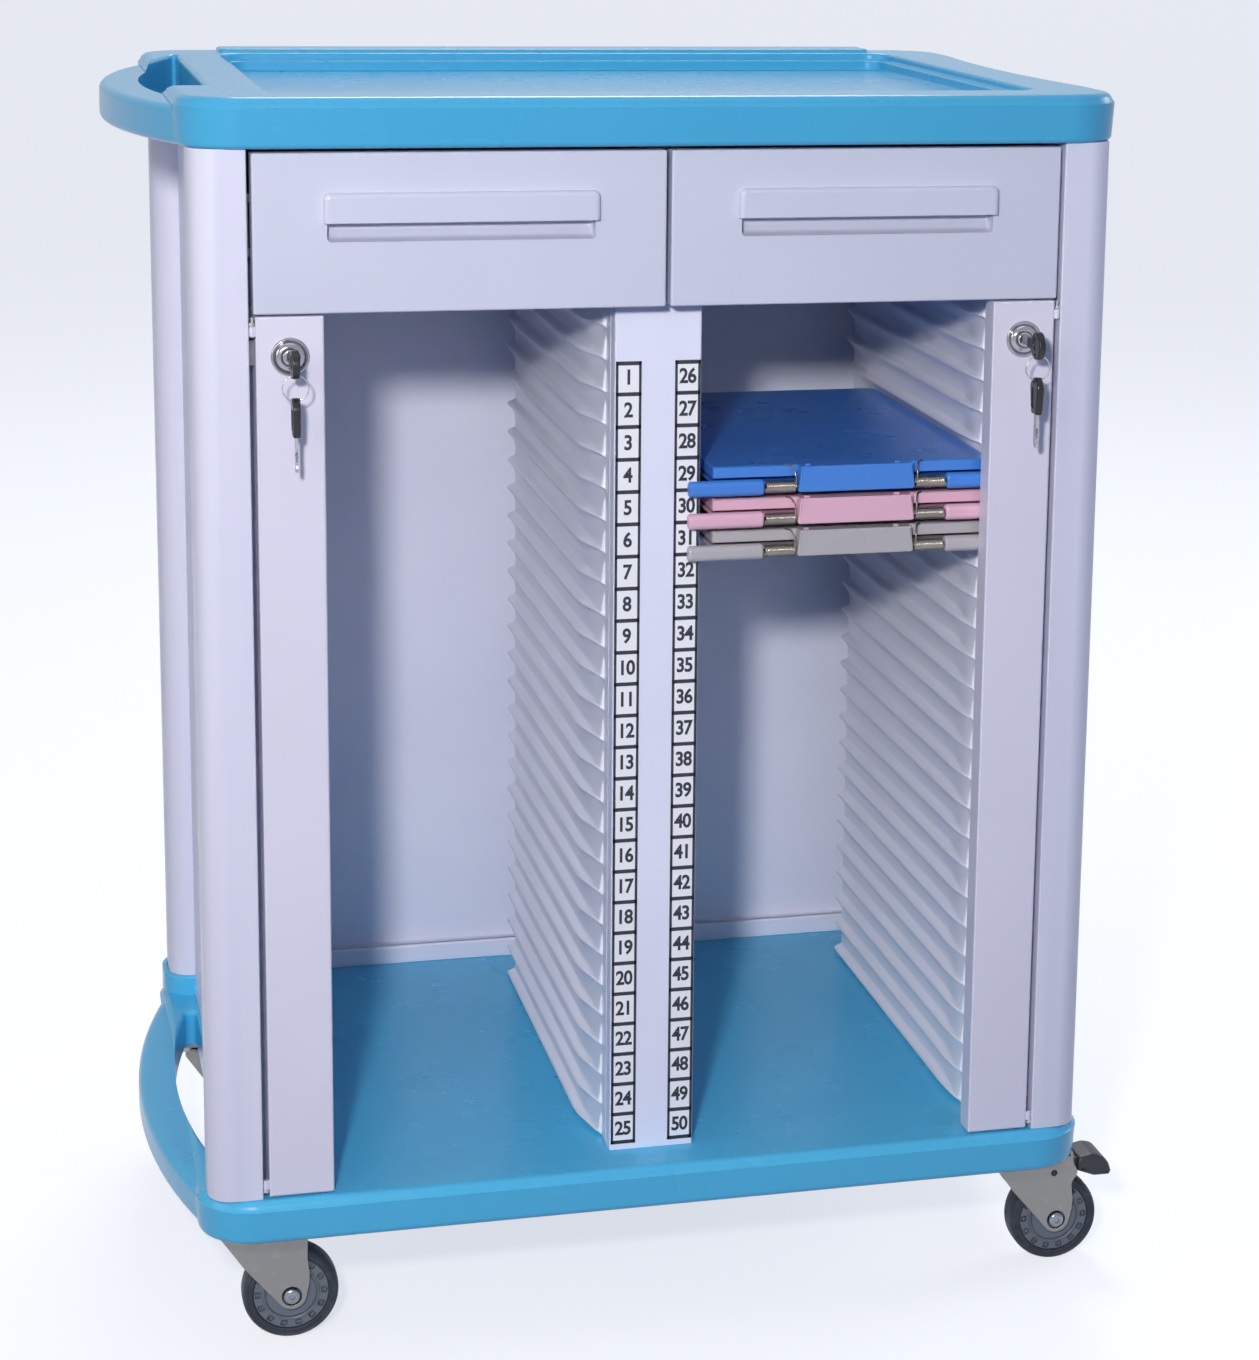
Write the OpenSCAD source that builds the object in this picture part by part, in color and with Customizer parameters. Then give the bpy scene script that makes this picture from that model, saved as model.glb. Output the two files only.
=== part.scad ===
// Patient record trolley: two cells of numbered chart slots, two drawers above them, two locking
// bars, a worktop with a sunken tray and four swivel casters. Millimetres, +Z up.
// The origin is on the floor under the middle of the trolley, and the front faces -Y.
// Inside the modules Y is counted from the front plane of the columns; place() moves it.

/* [Carcass] */
// Width across the columns
carcass_w = 694; // [690:1:700]
// Depth from the front plane to the rear faces of the columns
carcass_d = 500; // [498:1:510]
// Width of a column across the front
column_w = 40.5; // [38:0.5:41]
// Depth of a column along the side
column_d = 57; // [50:1:60]
// Wall of the hollow columns
column_wall = 3; // [2:0.5:4]
// Height of the base shelf's upper face above the floor
base_top = 141; // [141:1:145]
// Thickness of the base shelf
base_h = 34; // [30:1:34]
// Height of the worktop's underside
worktop_z = 935; // [935:1:940]
// Height of the worktop's rim
worktop_h = 36.5; // [30:0.5:40]
// Depth of the tray sunk in the worktop
tray_d = 14.5; // [10:0.5:18]

/* [Chart slots] */
// Number of numbered slots in each cell
slot_count = 25; // [22:1:25]
// Height of one slot
slot_pitch = 25; // [24:0.5:25]
// How far a runner stands out of its panel
runner_out = 7; // [5:0.5:7]

/* [Drawers] */
// Lower edge of the drawer fronts
drawer_z = 816.5; // [816:0.5:818]
// Height of the drawer fronts
drawer_h = 115.5; // [110:0.5:116]
// Thickness of the drawer fronts
drawer_front_t = 18; // [16:0.5:19]

/* [Locking bars] */
// Width of a bar
bar_w = 49; // [44:1:50]
// Thickness of a bar
bar_t = 20; // [16:1:20]
// Height of the lock cylinders above the floor
lock_z = 786; // [780:1:790]

/* [Casters] */
// Radius of the wheels
wheel_r = 37.5; // [35:0.5:38]
// Width of the wheels
wheel_w = 24; // [20:1:26]
// How far a wheel's axle trails behind its swivel
trail = 33; // [28:1:35]

/* [Hidden] */
$fn = 64;

// Widths and heights of the carcass.
half_w = carcass_w / 2;
inner_x = half_w - column_w;         // inner faces of the columns
rear_y = carcass_d - column_d;       // front faces of the rear columns
overhang = 8;                        // base and worktop beyond the columns
plan_half = half_w + overhang;
plan_back = carcass_d + overhang;
corner_r = 45;
carcass_h = worktop_z - base_top;
back_y = 491;                        // inner face of the back panel
panel_t = 3;
side_in = 22;                        // outer faces of the side panels inside the columns' outer faces
skin = 4;                            // wall of the two deck mouldings
pocket_x = half_w - 27;              // pocket under each deck
pocket_y = 10;
back_rim = 3;                        // extra height of the worktop's rear rim
rim_y = 465;
rim_half = half_w - 60;
sill_d = 12;
sill_h = 17;
jamb_d = 13;

// The tray sunk in the worktop, with a ledge around it.
tray_left = -288;
tray_right = 298;
tray_front = 42;
tray_back = 458;
tray_r = 20;
ledge_d = 6;
ledge_w = 8;

// The push bows at the left end of both decks: [outermost X, hand hole's inner X, front and back].
top_bow = [396, half_w - 22, 112, 440];
base_bow = [385, half_w - 19, 100, 400];
base_bow_z = 2;                      // the base bow's underside above the base's
bow_mid_y = 245;
bow_half = 228;
bow_band = 30;
bow_h = 28;

// Cells and slots.
post_half = 33.4;
post_y = 32;
post_wall = 2;
post_top = 822;
core_front = post_y + post_wall;
core_half = 15;
wall_in = 40;                        // face of the panels beside the post
wall_out = 268;                      // face of the panels beside the columns
cell_x = (wall_in + wall_out) / 2;
jamb_x = 2 * cell_x - post_half;
panel_top = 818;
panel_front = 50;
panel_rear = 425;
sheet_t = 2.5;
lead_in = 65;                        // length over which the runners rise out of their panel
tip_z = base_top + 3.65;             // tip of the lowest runner
runner_count = slot_count + 2;
label_w = 19.7;
label_x = 12.9;
label_t = 0.4;

// Drawers and their slides.
front_gap = 1.8;                     // half the gap between the two fronts
front_out = inner_x - 3.3;
front_w = front_out - front_gap;
slide_t = 13;
slide_len = 425;
slide_y = 22;
slide_z = 856;
slide_h = 45;
box_out = inner_x - slide_t;
box_in = core_half + slide_t;
box_z = 834;
box_h = 88;
box_d = 400;
box_wall = 2.5;
grip_w = 201;
grip_z = drawer_z + 65.5;            // lower lip of the grip's hood
grip_h = 20;
grip_out = 6;
grip_recess = 14;

// Locking bars and locks.
bar_out = inner_x - 4.5;
bar_in = bar_out - bar_w;
bar_bottom = base_top + 1.5;
bar_top = 815;
bar_wall = 2;
pivot_x = inner_x - 2.4;
pivot_y = 1.6;
pin_r = 1.25;
run = 0.05;                          // radial clearance of a running fit
lug_r = 2.2;
ear_r = 1.9;
lug_h = 7;
lug_low = 149;
lug_high = 801;
lock_x = bar_in + bar_w / 2;
bezel_r = 14;
bezel_t = 4;
barrel_r = 9;
plug_r = 6;
bow_r = 10.5;                        // plastic head of a key
key_y = -34;
key_t = 5.5;
key_hole = 7.7;                      // hole in the head below the lock's axis
key_hole_r = 2.2;
ring_r = 9.3;
ring_wire = 0.7;
ring_z = lock_z - key_hole - ring_r;
cam_y = bar_t + 4;
cam_t = 2.4;
cam_half = 6;
front_reach = bow_r - key_y;         // the keys are the foremost pieces

// Casters.
stem_x = 315;
stem_front = 62;
stem_back = 438;
base_bottom = base_top - base_h;
plate_t = 3.5;
plate_w = 62;
screw_at = 23;
screw_r = 4;
crown_z = 95;
crown_t = 3;
crown_r = 25;
race_r = 22;
leg_in = 14;
leg_t = 2.5;
leg_front = 22;
boss_r = 14.5;
king_r = 6;
axle_r = 4;
hub_r = 29;
pedal_x = 30;
pedal_z = 79;
pedal_pin_r = 2;
pedal_out = top_bow[0] - stem_x;     // the pad ends flush with the worktop's bow

// Chart binders.
binder_half = 111;
binder_y = 31;
binder_d = 320;
binder_rest = 4.3;                   // a binder's underside above the tips that carry it
binder_t = 14;
spine_half = 132;
spine_y = 25.5;
spine_r = 4.9;
spine_low = -3.3;
spine_h = 12.3;
spring_at = 59.5;                    // middle of a spring from the middle of the spine
spring_half = 12.5;

sky = "#49a0d0";
panel_white = "#d9d9ea";
zinc = "#9a9a98";
steel = "#c8c8cc";
dark = "#373c46";
tyre_grey = "#505860";

// ---- shared helpers ----

// Moves a sub-part from the front plane's frame to the trolley's own origin.
module place() {
    translate([0, (front_reach - plan_back) / 2, 0]) children();
}

// Pieces are drawn for the left side (-X); side = 1 mirrors them to the right.
module on_side(side) {
    mirror([side > 0 ? 1 : 0, 0, 0]) children();
}

module at_stem(side, y) {
    translate([side * stem_x, y, 0]) children();
}

// A cylinder along Y that starts at y.
module rod_y(x, z, r, y, len) {
    translate([x, y, z]) rotate([-90, 0, 0]) cylinder(r = r, h = len);
}

module rounded_rect(x0, x1, y0, y1, r) {
    for (x = [x0 + r, x1 - r], y = [y0 + r, y1 - r]) translate([x, y]) circle(r = r);
    translate([x0 + r, y0]) square([x1 - x0 - 2 * r, y1 - y0]);
    translate([x0, y0 + r]) square([x1 - x0, y1 - y0 - 2 * r]);
}

// ---- decks ----

// Plan of a deck without its bow: rounded corners and a shallow waist at the right end.
module deck_plan() {
    waist_r = 1500;
    difference() {
        rounded_rect(-plan_half, plan_half, -overhang, plan_back, corner_r);
        translate([half_w - 2 + waist_r, carcass_d / 2]) circle(r = waist_r, $fn = 360);
    }
}

// Radius of the arc that bulges from the deck's side out to out_x.
function bow_radius(out_x) =
    (pow(bow_half, 2) + pow(out_x - half_w, 2)) / (2 * (out_x - half_w));

// Area inside a bow's arc, drawn in by inset.
module bow_disc(out_x, inset) {
    translate([bow_radius(out_x) - out_x, bow_mid_y])
        circle(r = bow_radius(out_x) - inset, $fn = 240);
}

// The hand hole between a bow and its deck.
module hand_hole(bow) {
    round_r = 5;
    offset(r = round_r) offset(delta = -round_r) intersection() {
        bow_disc(bow[0], bow_band);
        translate([-bow[0], bow[2]]) square([bow[0] - bow[1], bow[3] - bow[2]]);
    }
}

// The push bow: a band that follows an arc outside the deck's left end.
module push_bow(bow) {
    root_x = half_w - 47;
    linear_extrude(bow_h) difference() {
        intersection() {
            bow_disc(bow[0], 0);
            translate([-bow[0], -overhang]) square([bow[0] - root_x, plan_back + overhang]);
        }
        hand_hole(bow);
    }
}

module deck(bow, height) {
    linear_extrude(height) difference() {
        deck_plan();
        hand_hole(bow);
    }
}

// Underside pocket of a deck.
module under_pocket() {
    translate([-pocket_x, pocket_y]) square([2 * pocket_x, carcass_d - 2 * pocket_y]);
}

module base_shelf() {
    screw_depth = 20;
    block = plate_w + 30;            // the corners over the casters stay solid
    color(sky) translate([0, 0, base_bottom]) difference() {
        union() {
            deck(base_bow, base_h);
            translate([0, 0, base_bow_z]) push_bow(base_bow);
        }
        translate([0, 0, -1]) linear_extrude(base_h - skin + 1) difference() {
            under_pocket();
            for (x = [-stem_x, stem_x], y = [stem_front, stem_back])
                translate([x - block / 2, y - block / 2]) square(block);
        }
        for (s = [-1, 1], y = [stem_front, stem_back]) at_stem(s, y)
            screw_spots() translate([0, 0, -1]) cylinder(r = screw_r, h = screw_depth + 1, $fn = 32);
    }
}

// Outline of the tray, drawn in by inset.
module tray_plan(inset) {
    rounded_rect(tray_left + inset, tray_right - inset, tray_front + inset, tray_back - inset,
        tray_r - 0.75 * inset);
}

module worktop() {
    color(sky) translate([0, 0, worktop_z]) difference() {
        union() {
            deck(top_bow, worktop_h);
            push_bow(top_bow);
            linear_extrude(worktop_h + back_rim) intersection() {
                deck_plan();
                translate([-rim_half, rim_y]) square([2 * rim_half, plan_back]);
            }
        }
        translate([0, 0, worktop_h - ledge_d]) linear_extrude(ledge_d + 1) tray_plan(0);
        translate([0, 0, worktop_h - tray_d]) linear_extrude(tray_d + 1) tray_plan(ledge_w);
        translate([0, 0, -1]) linear_extrude(worktop_h - tray_d - skin + 1) under_pocket();
    }
}

// ---- carcass ----

// Column section: a large round at the trolley's corner and a smaller one along its side.
module column_plan(shrink) {
    big = 34;
    small = 20;
    offset(delta = -shrink) intersection() {
        translate([-half_w, 0]) square([column_w, column_d]);
        union() {
            translate([-half_w + big, big]) circle(r = big);
            translate([-half_w + small, column_d - small]) circle(r = small);
            translate([-half_w, big]) square([column_w, column_d - big - small]);
            translate([-half_w + small, big]) square([column_w, column_d]);
            translate([-half_w + big, 0]) square([column_w, column_d]);
        }
    }
}

module column(side, rear) {
    color(panel_white) on_side(side)
        translate([0, rear ? carcass_d : 0, base_top]) mirror([0, rear ? 1 : 0, 0])
            linear_extrude(carcass_h) difference() {
                column_plan(0);
                column_plan(column_wall);
            }
}

module side_panel(side) {
    color(panel_white) on_side(side)
        translate([-half_w + side_in, column_d, base_top])
            cube([panel_t, rear_y - column_d, carcass_h]);
}

module back_panel() {
    color(panel_white) translate([-inner_x, back_y, base_top])
        cube([2 * inner_x, 2 * panel_t, carcass_h]);
}

module back_sill() {
    color(panel_white) for (side = [-1, 1]) on_side(side)
        translate([-inner_x, back_y - sill_d, base_top]) cube([inner_x - core_half, sill_d, sill_h]);
}

module centre_post() {
    color(panel_white) translate([0, 0, base_top]) linear_extrude(post_top - base_top)
        difference() {
            translate([-post_half, post_y]) square([2 * post_half, panel_front - post_y]);
            translate([-post_half + post_wall, core_front])
                square([2 * (post_half - post_wall), panel_front]);
        }
}

module divider_core() {
    color(panel_white) translate([0, 0, base_top]) linear_extrude(carcass_h) difference() {
        translate([-core_half, core_front]) square([2 * core_half, back_y - core_front]);
        translate([-core_half + panel_t, core_front + panel_t])
            square([2 * (core_half - panel_t), back_y - core_front - 2 * panel_t]);
    }
}

module jamb_strips() {
    color(panel_white) for (side = [-1, 1]) on_side(side)
        translate([-inner_x, post_y, base_top])
            cube([inner_x - jamb_x, jamb_d, panel_top - base_top]);
}

// Brackets beside the columns that the lock cams catch behind: a foot on the jamb strip, a web
// along the column and a lip in front of the cam.
module lock_keepers() {
    keeper_t = 2;
    keeper_h = 3 * cam_half;
    keeper_w = 7;
    foot_w = 14;
    lip_y = bar_t + 0.8;
    color(zinc) for (side = [-1, 1]) on_side(side)
        translate([-inner_x, 0, lock_z - keeper_h / 2]) {
            translate([0, lip_y, 0]) cube([keeper_w, keeper_t, keeper_h]);
            translate([0, lip_y, 0]) cube([keeper_t, post_y - lip_y, keeper_h]);
            translate([0, post_y - keeper_t, 0]) cube([foot_w, keeper_t, keeper_h]);
        }
}

module slot_labels() {
    color("white") for (side = [-1, 1]) on_side(side)
        translate([-label_x - label_w, post_y - label_t, base_top + 5])
            cube([label_w, label_t, slot_count * slot_pitch]);
}

// ---- chart slots ----

// Panel beside the post: a sheet with a return to the divider at each end.
module chart_panel_inner(side) {
    color(panel_white) on_side(side) translate([0, 0, base_top + 1])
        linear_extrude(panel_top - base_top - 1) {
            translate([-wall_in, panel_front]) square([sheet_t, panel_rear - panel_front]);
            for (y = [panel_front, panel_rear - sheet_t])
                translate([-wall_in, y]) square([wall_in - core_half, sheet_t]);
        }
}

// Panel beside the columns: a sheet with returns to the jamb strip and to the side panel.
module chart_panel_outer(side) {
    return_x = half_w - side_in - panel_t;
    color(panel_white) on_side(side) translate([0, 0, base_top + 1])
        linear_extrude(panel_top - base_top - 1) {
            translate([-wall_out - sheet_t, post_y + jamb_d])
                square([sheet_t, panel_rear - post_y - jamb_d]);
            translate([-inner_x, post_y + jamb_d]) square([inner_x - wall_out, sheet_t]);
            translate([-return_x, panel_rear - sheet_t]) square([return_x - wall_out, sheet_t]);
        }
}

// Section of one runner: height over distance from the panel, with its tip at height 0.
function runner_section(out) = [
    [0, 5.5], [0.36 * out, 4.6], [0.79 * out, 2], [out, -0.5], [0.89 * out, -3], [0, -10]];

// Runners on one panel. They curve in from the front and stop at the panel's rear end.
module runners(front_y) {
    lead = panel_front + lead_in;
    intersection() {
        translate([0, panel_rear, 0]) rotate([90, 0, 0]) linear_extrude(panel_rear - front_y)
            for (i = [0 : runner_count - 1])
                translate([0, tip_z + i * slot_pitch]) polygon(runner_section(runner_out));
        translate([0, 0, base_top]) linear_extrude(panel_top - base_top) polygon([
            [0, front_y], [0.4 * runner_out, front_y + 0.25 * (lead - front_y)],
            [0.8 * runner_out, front_y + 0.6 * (lead - front_y)], [runner_out, lead],
            [runner_out, panel_rear], [0, panel_rear]]);
    }
}

module chart_runners(side) {
    color(panel_white) on_side(side) {
        translate([-wall_out, 0, 0]) runners(panel_front);
        translate([-wall_in, 0, 0]) mirror([1, 0, 0]) runners(panel_front + 2);
    }
}

// ---- drawers ----

// Front with a raised hood and a finger recess that runs up behind the hood's lip.
module drawer_front(side) {
    mid_x = -(front_gap + front_out) / 2;
    lip = 3;
    recess_d = 12;
    color(panel_white) on_side(side) difference() {
        union() {
            translate([-front_out, 0, drawer_z]) cube([front_w, drawer_front_t, drawer_h]);
            translate([mid_x - grip_w / 2, -grip_out, grip_z]) cube([grip_w, grip_out + 1, grip_h]);
        }
        translate([mid_x - grip_w / 2 + lip, -1, grip_z - grip_recess])
            cube([grip_w - 2 * lip, recess_d + 1, grip_recess]);
        translate([mid_x - grip_w / 2 + lip, lip - grip_out, grip_z - 1])
            cube([grip_w - 2 * lip, recess_d + grip_out - lip, grip_h - lip + 1]);
    }
}

module drawer_box(side) {
    box_w = box_out - box_in;
    color("#c9cbd8") on_side(side) translate([-box_out, drawer_front_t, box_z]) difference() {
        cube([box_w, box_d, box_h]);
        translate([box_wall, box_wall, box_wall])
            cube([box_w - 2 * box_wall, box_d - 2 * box_wall, box_h]);
    }
}

// Fixed slide channel against the carcass at x, opening towards +X.
module slide_channel(x) {
    lip = 6;
    back = 2.5;
    translate([x, slide_y, slide_z]) difference() {
        cube([slide_t - 1, slide_len, slide_h]);
        translate([back, -1, lip]) cube([slide_t, slide_len + 2, slide_h - 2 * lip]);
    }
}

module slide_rails() {
    color(zinc) for (side = [-1, 1]) on_side(side) {
        slide_channel(-inner_x);
        translate([-core_half, 0, 0]) mirror([1, 0, 0]) slide_channel(0);
    }
}

// Moving slide members on both sides of a drawer box.
module drawer_runners(side) {
    gap = 0.5;
    lip = 6;
    depth = 9;
    color(steel) on_side(side) for (x = [-box_out - depth, -box_in])
        translate([x, slide_y, slide_z + lip + gap])
            cube([depth, box_d - 10, slide_h - 2 * lip - 2 * gap]);
}

// ---- locking bars ----

// Channel with two hinge lugs at its outer edge and a hole for the lock.
module bar(side) {
    color(panel_white) on_side(side) difference() {
        union() {
            translate([-bar_out, 0, bar_bottom]) cube([bar_w, bar_t, bar_top - bar_bottom]);
            for (z = [lug_low, lug_high]) {
                translate([-pivot_x, pivot_y, z]) cylinder(r = lug_r, h = lug_h);
                translate([-pivot_x, pivot_y - 1, z]) cube([pivot_x - bar_out + 1, 3, lug_h]);
            }
        }
        translate([-bar_out + bar_wall, bar_wall, bar_bottom + bar_wall])
            cube([bar_w - 2 * bar_wall, bar_t, bar_top - bar_bottom - 2 * bar_wall]);
        rod_y(-lock_x, lock_z, barrel_r, -1, bar_wall + 2);
        for (z = [lug_low, lug_high])
            translate([-pivot_x, pivot_y, z - 1]) cylinder(r = pin_r + run, h = lug_h + 2);
    }
}

// Ears on the columns with the pins that the bars turn on.
module bar_hinges() {
    ear_h = 2.7;
    gap = 0.3;
    color(steel) for (side = [-1, 1]) on_side(side) {
        for (z = [lug_low - gap - ear_h, lug_high + lug_h + gap]) {
            translate([-pivot_x, pivot_y, z]) cylinder(r = ear_r, h = ear_h);
            translate([-inner_x, pivot_y - 1, z]) cube([inner_x - pivot_x, ear_r + 1, ear_h]);
        }
        translate([-pivot_x, pivot_y, lug_low - gap - ear_h])
            cylinder(r = pin_r, h = ear_h + gap + lug_h + 1);
        translate([-pivot_x, pivot_y, lug_high - 1]) cylinder(r = pin_r, h = bar_top - lug_high + 1);
        translate([-pivot_x, pivot_y, bar_top - 1]) cylinder(r = ear_r, h = 1.3);
    }
}

// Lock cylinder: bezel, barrel and nut, with the plug's bore.
module lock_body(side) {
    nut_r = 12;
    color(steel) on_side(side) difference() {
        union() {
            rod_y(-lock_x, lock_z, bezel_r, -bezel_t, bezel_t);
            rod_y(-lock_x, lock_z, barrel_r, -1, bar_t + 3);
            rod_y(-lock_x, lock_z, nut_r, bar_wall, 3);
        }
        rod_y(-lock_x, lock_z, plug_r + run, -bezel_t - 1, bar_t + 12);
    }
}

// Turning plug with a keyway in front and the cam behind the bar.
module lock_plug(side) {
    cam_len = bar_w / 2;
    plug_out = bezel_t + 0.6;
    way_w = 2.4;
    way_h = 8;
    way_d = 20;
    color(zinc) on_side(side) difference() {
        union() {
            rod_y(-lock_x, lock_z, plug_r, -plug_out, plug_out + cam_y + 1);
            translate([-lock_x - cam_half, cam_y, lock_z - cam_len]) cube([2 * cam_half, cam_t, cam_len]);
            rod_y(-lock_x, lock_z, cam_half, cam_y, cam_t);
        }
        translate([-lock_x - way_w / 2, -plug_out - 1, lock_z - way_h / 2])
            cube([way_w, way_d, way_h]);
    }
}

// Head of a key in the YZ plane: a disc of plastic with a hole for the ring.
module key_head(y, z, r, hole_z) {
    difference() {
        translate([-key_t / 2, y, z]) rotate([0, 90, 0]) cylinder(r = r, h = key_t);
        translate([-key_t, y, hole_z]) rotate([0, 90, 0]) cylinder(r = key_hole_r, h = 2 * key_t);
    }
}

module key(side) {
    blade_t = 2;
    color(dark) on_side(side) translate([-lock_x, 0, 0]) {
        key_head(key_y, lock_z, bow_r, lock_z - key_hole);
        translate([-blade_t / 2, key_y + 9, lock_z - 3.7]) cube([blade_t, 34, 7.4]);
    }
}

// Split ring through the key's head, with the spare key hanging from it.
module key_ring(side) {
    head_r = 9.5;
    head_z = ring_z - ring_r - 6.5;
    color(dark) on_side(side) translate([-lock_x, 0, 0]) {
        translate([0, key_y - 0.5, ring_z]) rotate([90, 0, 0]) rotate_extrude()
            translate([ring_r, 0]) circle(r = ring_wire, $fn = 16);
        difference() {
            union() {
                key_head(key_y - 0.5, head_z, head_r, ring_z - ring_r);
                translate([-key_t / 2, key_y - 7, head_z - 19]) cube([key_t, 13, 15]);
            }
            translate([-key_t, key_y - 0.5, ring_z - ring_r]) rotate([0, 90, 0])
                cylinder(r = key_hole_r, h = 2 * key_t);
        }
        translate([-1, key_y - 4, head_z - 45]) cube([2, 7, 28]);
    }
}

// ---- casters ----

// Repeats its children at the four screws of a caster's plate.
module screw_spots() {
    for (dx = [-screw_at, screw_at], dy = [-screw_at, screw_at]) translate([dx, dy, 0]) children();
}

module caster_plates() {
    rivet_z = crown_z - 7;
    rivet_h = 4;
    color(zinc) for (s = [-1, 1], y = [stem_front, stem_back]) at_stem(s, y) difference() {
        union() {
            translate([-plate_w / 2, -plate_w / 2, base_bottom - plate_t])
                cube([plate_w, plate_w, plate_t]);
            translate([0, 0, rivet_z]) cylinder(r = king_r, h = base_bottom - rivet_z);
            translate([0, 0, rivet_z]) cylinder(r = king_r + 4, h = rivet_h);
        }
        screw_spots() translate([0, 0, base_bottom - plate_t - 1])
            cylinder(r = screw_r, h = plate_t + 2, $fn = 32);
    }
}

module caster_screws() {
    head_h = 4.5;
    head_r = 6.5;
    shank = 22;
    color(steel) for (s = [-1, 1], y = [stem_front, stem_back]) at_stem(s, y)
        screw_spots() translate([0, 0, base_bottom - plate_t]) {
            cylinder(r = screw_r, h = shank, $fn = 32);
            translate([0, 0, -head_h]) cylinder(r = head_r, h = head_h, $fn = 6);
        }
}

// Side of a fork: sloped in front, upright behind, round under the axle.
module leg_plan() {
    shoulder = 7;
    slant = 6;
    top = crown_z - 1;
    translate([trail, wheel_r]) circle(r = boss_r);
    polygon([[-leg_front, top], [-leg_front, top - shoulder],
        [trail - sqrt(pow(boss_r, 2) - pow(slant, 2)), wheel_r - slant],
        [trail, wheel_r - boss_r], [trail + boss_r, wheel_r], [trail + boss_r, top]]);
}

// Swivelling fork with its race ring, two legs and the riveted axle.
module fork(side, y) {
    head_t = 2.5;
    race_gap = 0.3;
    leg_out = leg_in + leg_t;
    color(zinc) at_stem(side, y) difference() {
        union() {
            translate([0, 0, crown_z]) cylinder(r = crown_r, h = crown_t);
            translate([0, 0, crown_z])
                cylinder(r = race_r, h = base_bottom - plate_t - race_gap - crown_z);
            translate([-leg_front, -leg_out, crown_z - leg_t])
                cube([leg_front + trail + boss_r, 2 * leg_out, leg_t + 0.1]);
            for (leg_y = [-leg_in, leg_out]) translate([0, leg_y, 0]) rotate([90, 0, 0])
                linear_extrude(leg_t) leg_plan();
            rod_y(trail, wheel_r, axle_r, -leg_out, 2 * leg_out);
            for (head_y = [-leg_out - head_t, leg_out])
                rod_y(trail, wheel_r, axle_r + 3, head_y, head_t);
        }
        translate([0, 0, crown_z - 4]) cylinder(r = king_r + run, h = 20);
        rod_y(pedal_x, pedal_z, pedal_pin_r + run, -leg_out - 1, 2 * leg_out + 2);
    }
}

module tyre(side, y) {
    shoulder = 4;
    color(tyre_grey) at_stem(side, y) translate([trail, 0, wheel_r]) rotate([-90, 0, 0])
        rotate_extrude($fn = 96) polygon([
            [hub_r, -wheel_w / 2 + 1], [wheel_r - shoulder, -wheel_w / 2],
            [wheel_r - 1, -wheel_w / 2 + shoulder / 2], [wheel_r, -wheel_w / 4],
            [wheel_r, wheel_w / 4], [wheel_r - 1, wheel_w / 2 - shoulder / 2],
            [wheel_r - shoulder, wheel_w / 2], [hub_r, wheel_w / 2 - 1]]);
}

module hub(side, y) {
    half = wheel_w / 2 - 1;
    color("#8d959c") at_stem(side, y) translate([trail, 0, wheel_r]) difference() {
        rod_y(0, 0, hub_r, -half, 2 * half);
        rod_y(0, 0, axle_r + run, -half - 1, 2 * half + 2);
    }
}

// Brake pedal: a pad outside the fork on an arm that turns on a pin through both legs.
module pedal(side, y) {
    arm_half = 12.5;
    pad_half = 16;
    color(dark) at_stem(side, y) {
        rod_y(pedal_x, pedal_z, pedal_pin_r, -leg_in - leg_t, 2 * (leg_in + leg_t));
        translate([0, arm_half, 0]) rotate([90, 0, 0]) linear_extrude(2 * arm_half)
            polygon([[24, 79], [30, 77], [40, 78.5], [52, 79], [52, 89], [26, 89]]);
        translate([0, pad_half, 0]) rotate([90, 0, 0]) linear_extrude(2 * pad_half)
            polygon([[50.5, 80], [50.5, 89.5], [62, 91], [70, 88.5], [77, 80],
                [pedal_out, 72], [pedal_out - 1.5, 68.5], [66, 68], [59, 76]]);
    }
}

// ---- chart binders ----

// A binder in the slot whose runner tips are at height z. Its spine leaves room for two springs.
module binder(z, tint) {
    web_h = 3;
    color(tint) translate([cell_x, 0, z]) {
        translate([-binder_half, binder_y, binder_rest]) cube([2 * binder_half, binder_d, binder_t]);
        for (seg = [[-spine_half, -spring_at - spring_half],
                [-spring_at + spring_half, spring_at - spring_half],
                [spring_at + spring_half, spine_half]])
            translate([seg[0], spine_y - spine_r, spine_low])
                cube([seg[1] - seg[0], 2 * spine_r, spine_h]);
        for (seg = [[-binder_half, -spring_at - spring_half],
                [-spring_at + spring_half, spring_at - spring_half],
                [spring_at + spring_half, binder_half]])
            translate([seg[0], spine_y, binder_rest])
                cube([seg[1] - seg[0], binder_y - spine_y + 1, web_h]);
    }
}

function slot_tip(row) = tip_z + (slot_count - row) * slot_pitch;

module binder_springs() {
    color(steel) for (row = [4, 5, 6], s = [-1, 1])
        translate([cell_x + s * spring_at - spring_half, spine_y, slot_tip(row) + spine_low + spine_h / 2])
            rotate([0, 90, 0]) cylinder(r = spine_r, h = 2 * spring_half, $fn = 32);
}

place() base_shelf();
place() worktop();
place() column(-1, false);  // column_front_left
place() column(1, false);  // column_front_right
place() column(-1, true);  // column_rear_left
place() column(1, true);  // column_rear_right
place() side_panel(-1);  // side_panel_left
place() side_panel(1);  // side_panel_right
place() back_panel();
place() back_sill();
place() centre_post();
place() divider_core();
place() jamb_strips();
place() lock_keepers();
place() slot_labels();
place() chart_panel_outer(-1);  // chart_panel_left_outer
place() chart_panel_inner(-1);  // chart_panel_left_inner
place() chart_panel_inner(1);  // chart_panel_right_inner
place() chart_panel_outer(1);  // chart_panel_right_outer
place() chart_runners(-1);  // chart_runners_left
place() chart_runners(1);  // chart_runners_right
place() slide_rails();
place() bar_hinges();
place() caster_plates();
place() caster_screws();
place() binder(slot_tip(4), "#3482cd");  // binder_blue
place() binder(slot_tip(5), "#cd96b4");  // binder_pink
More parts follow.
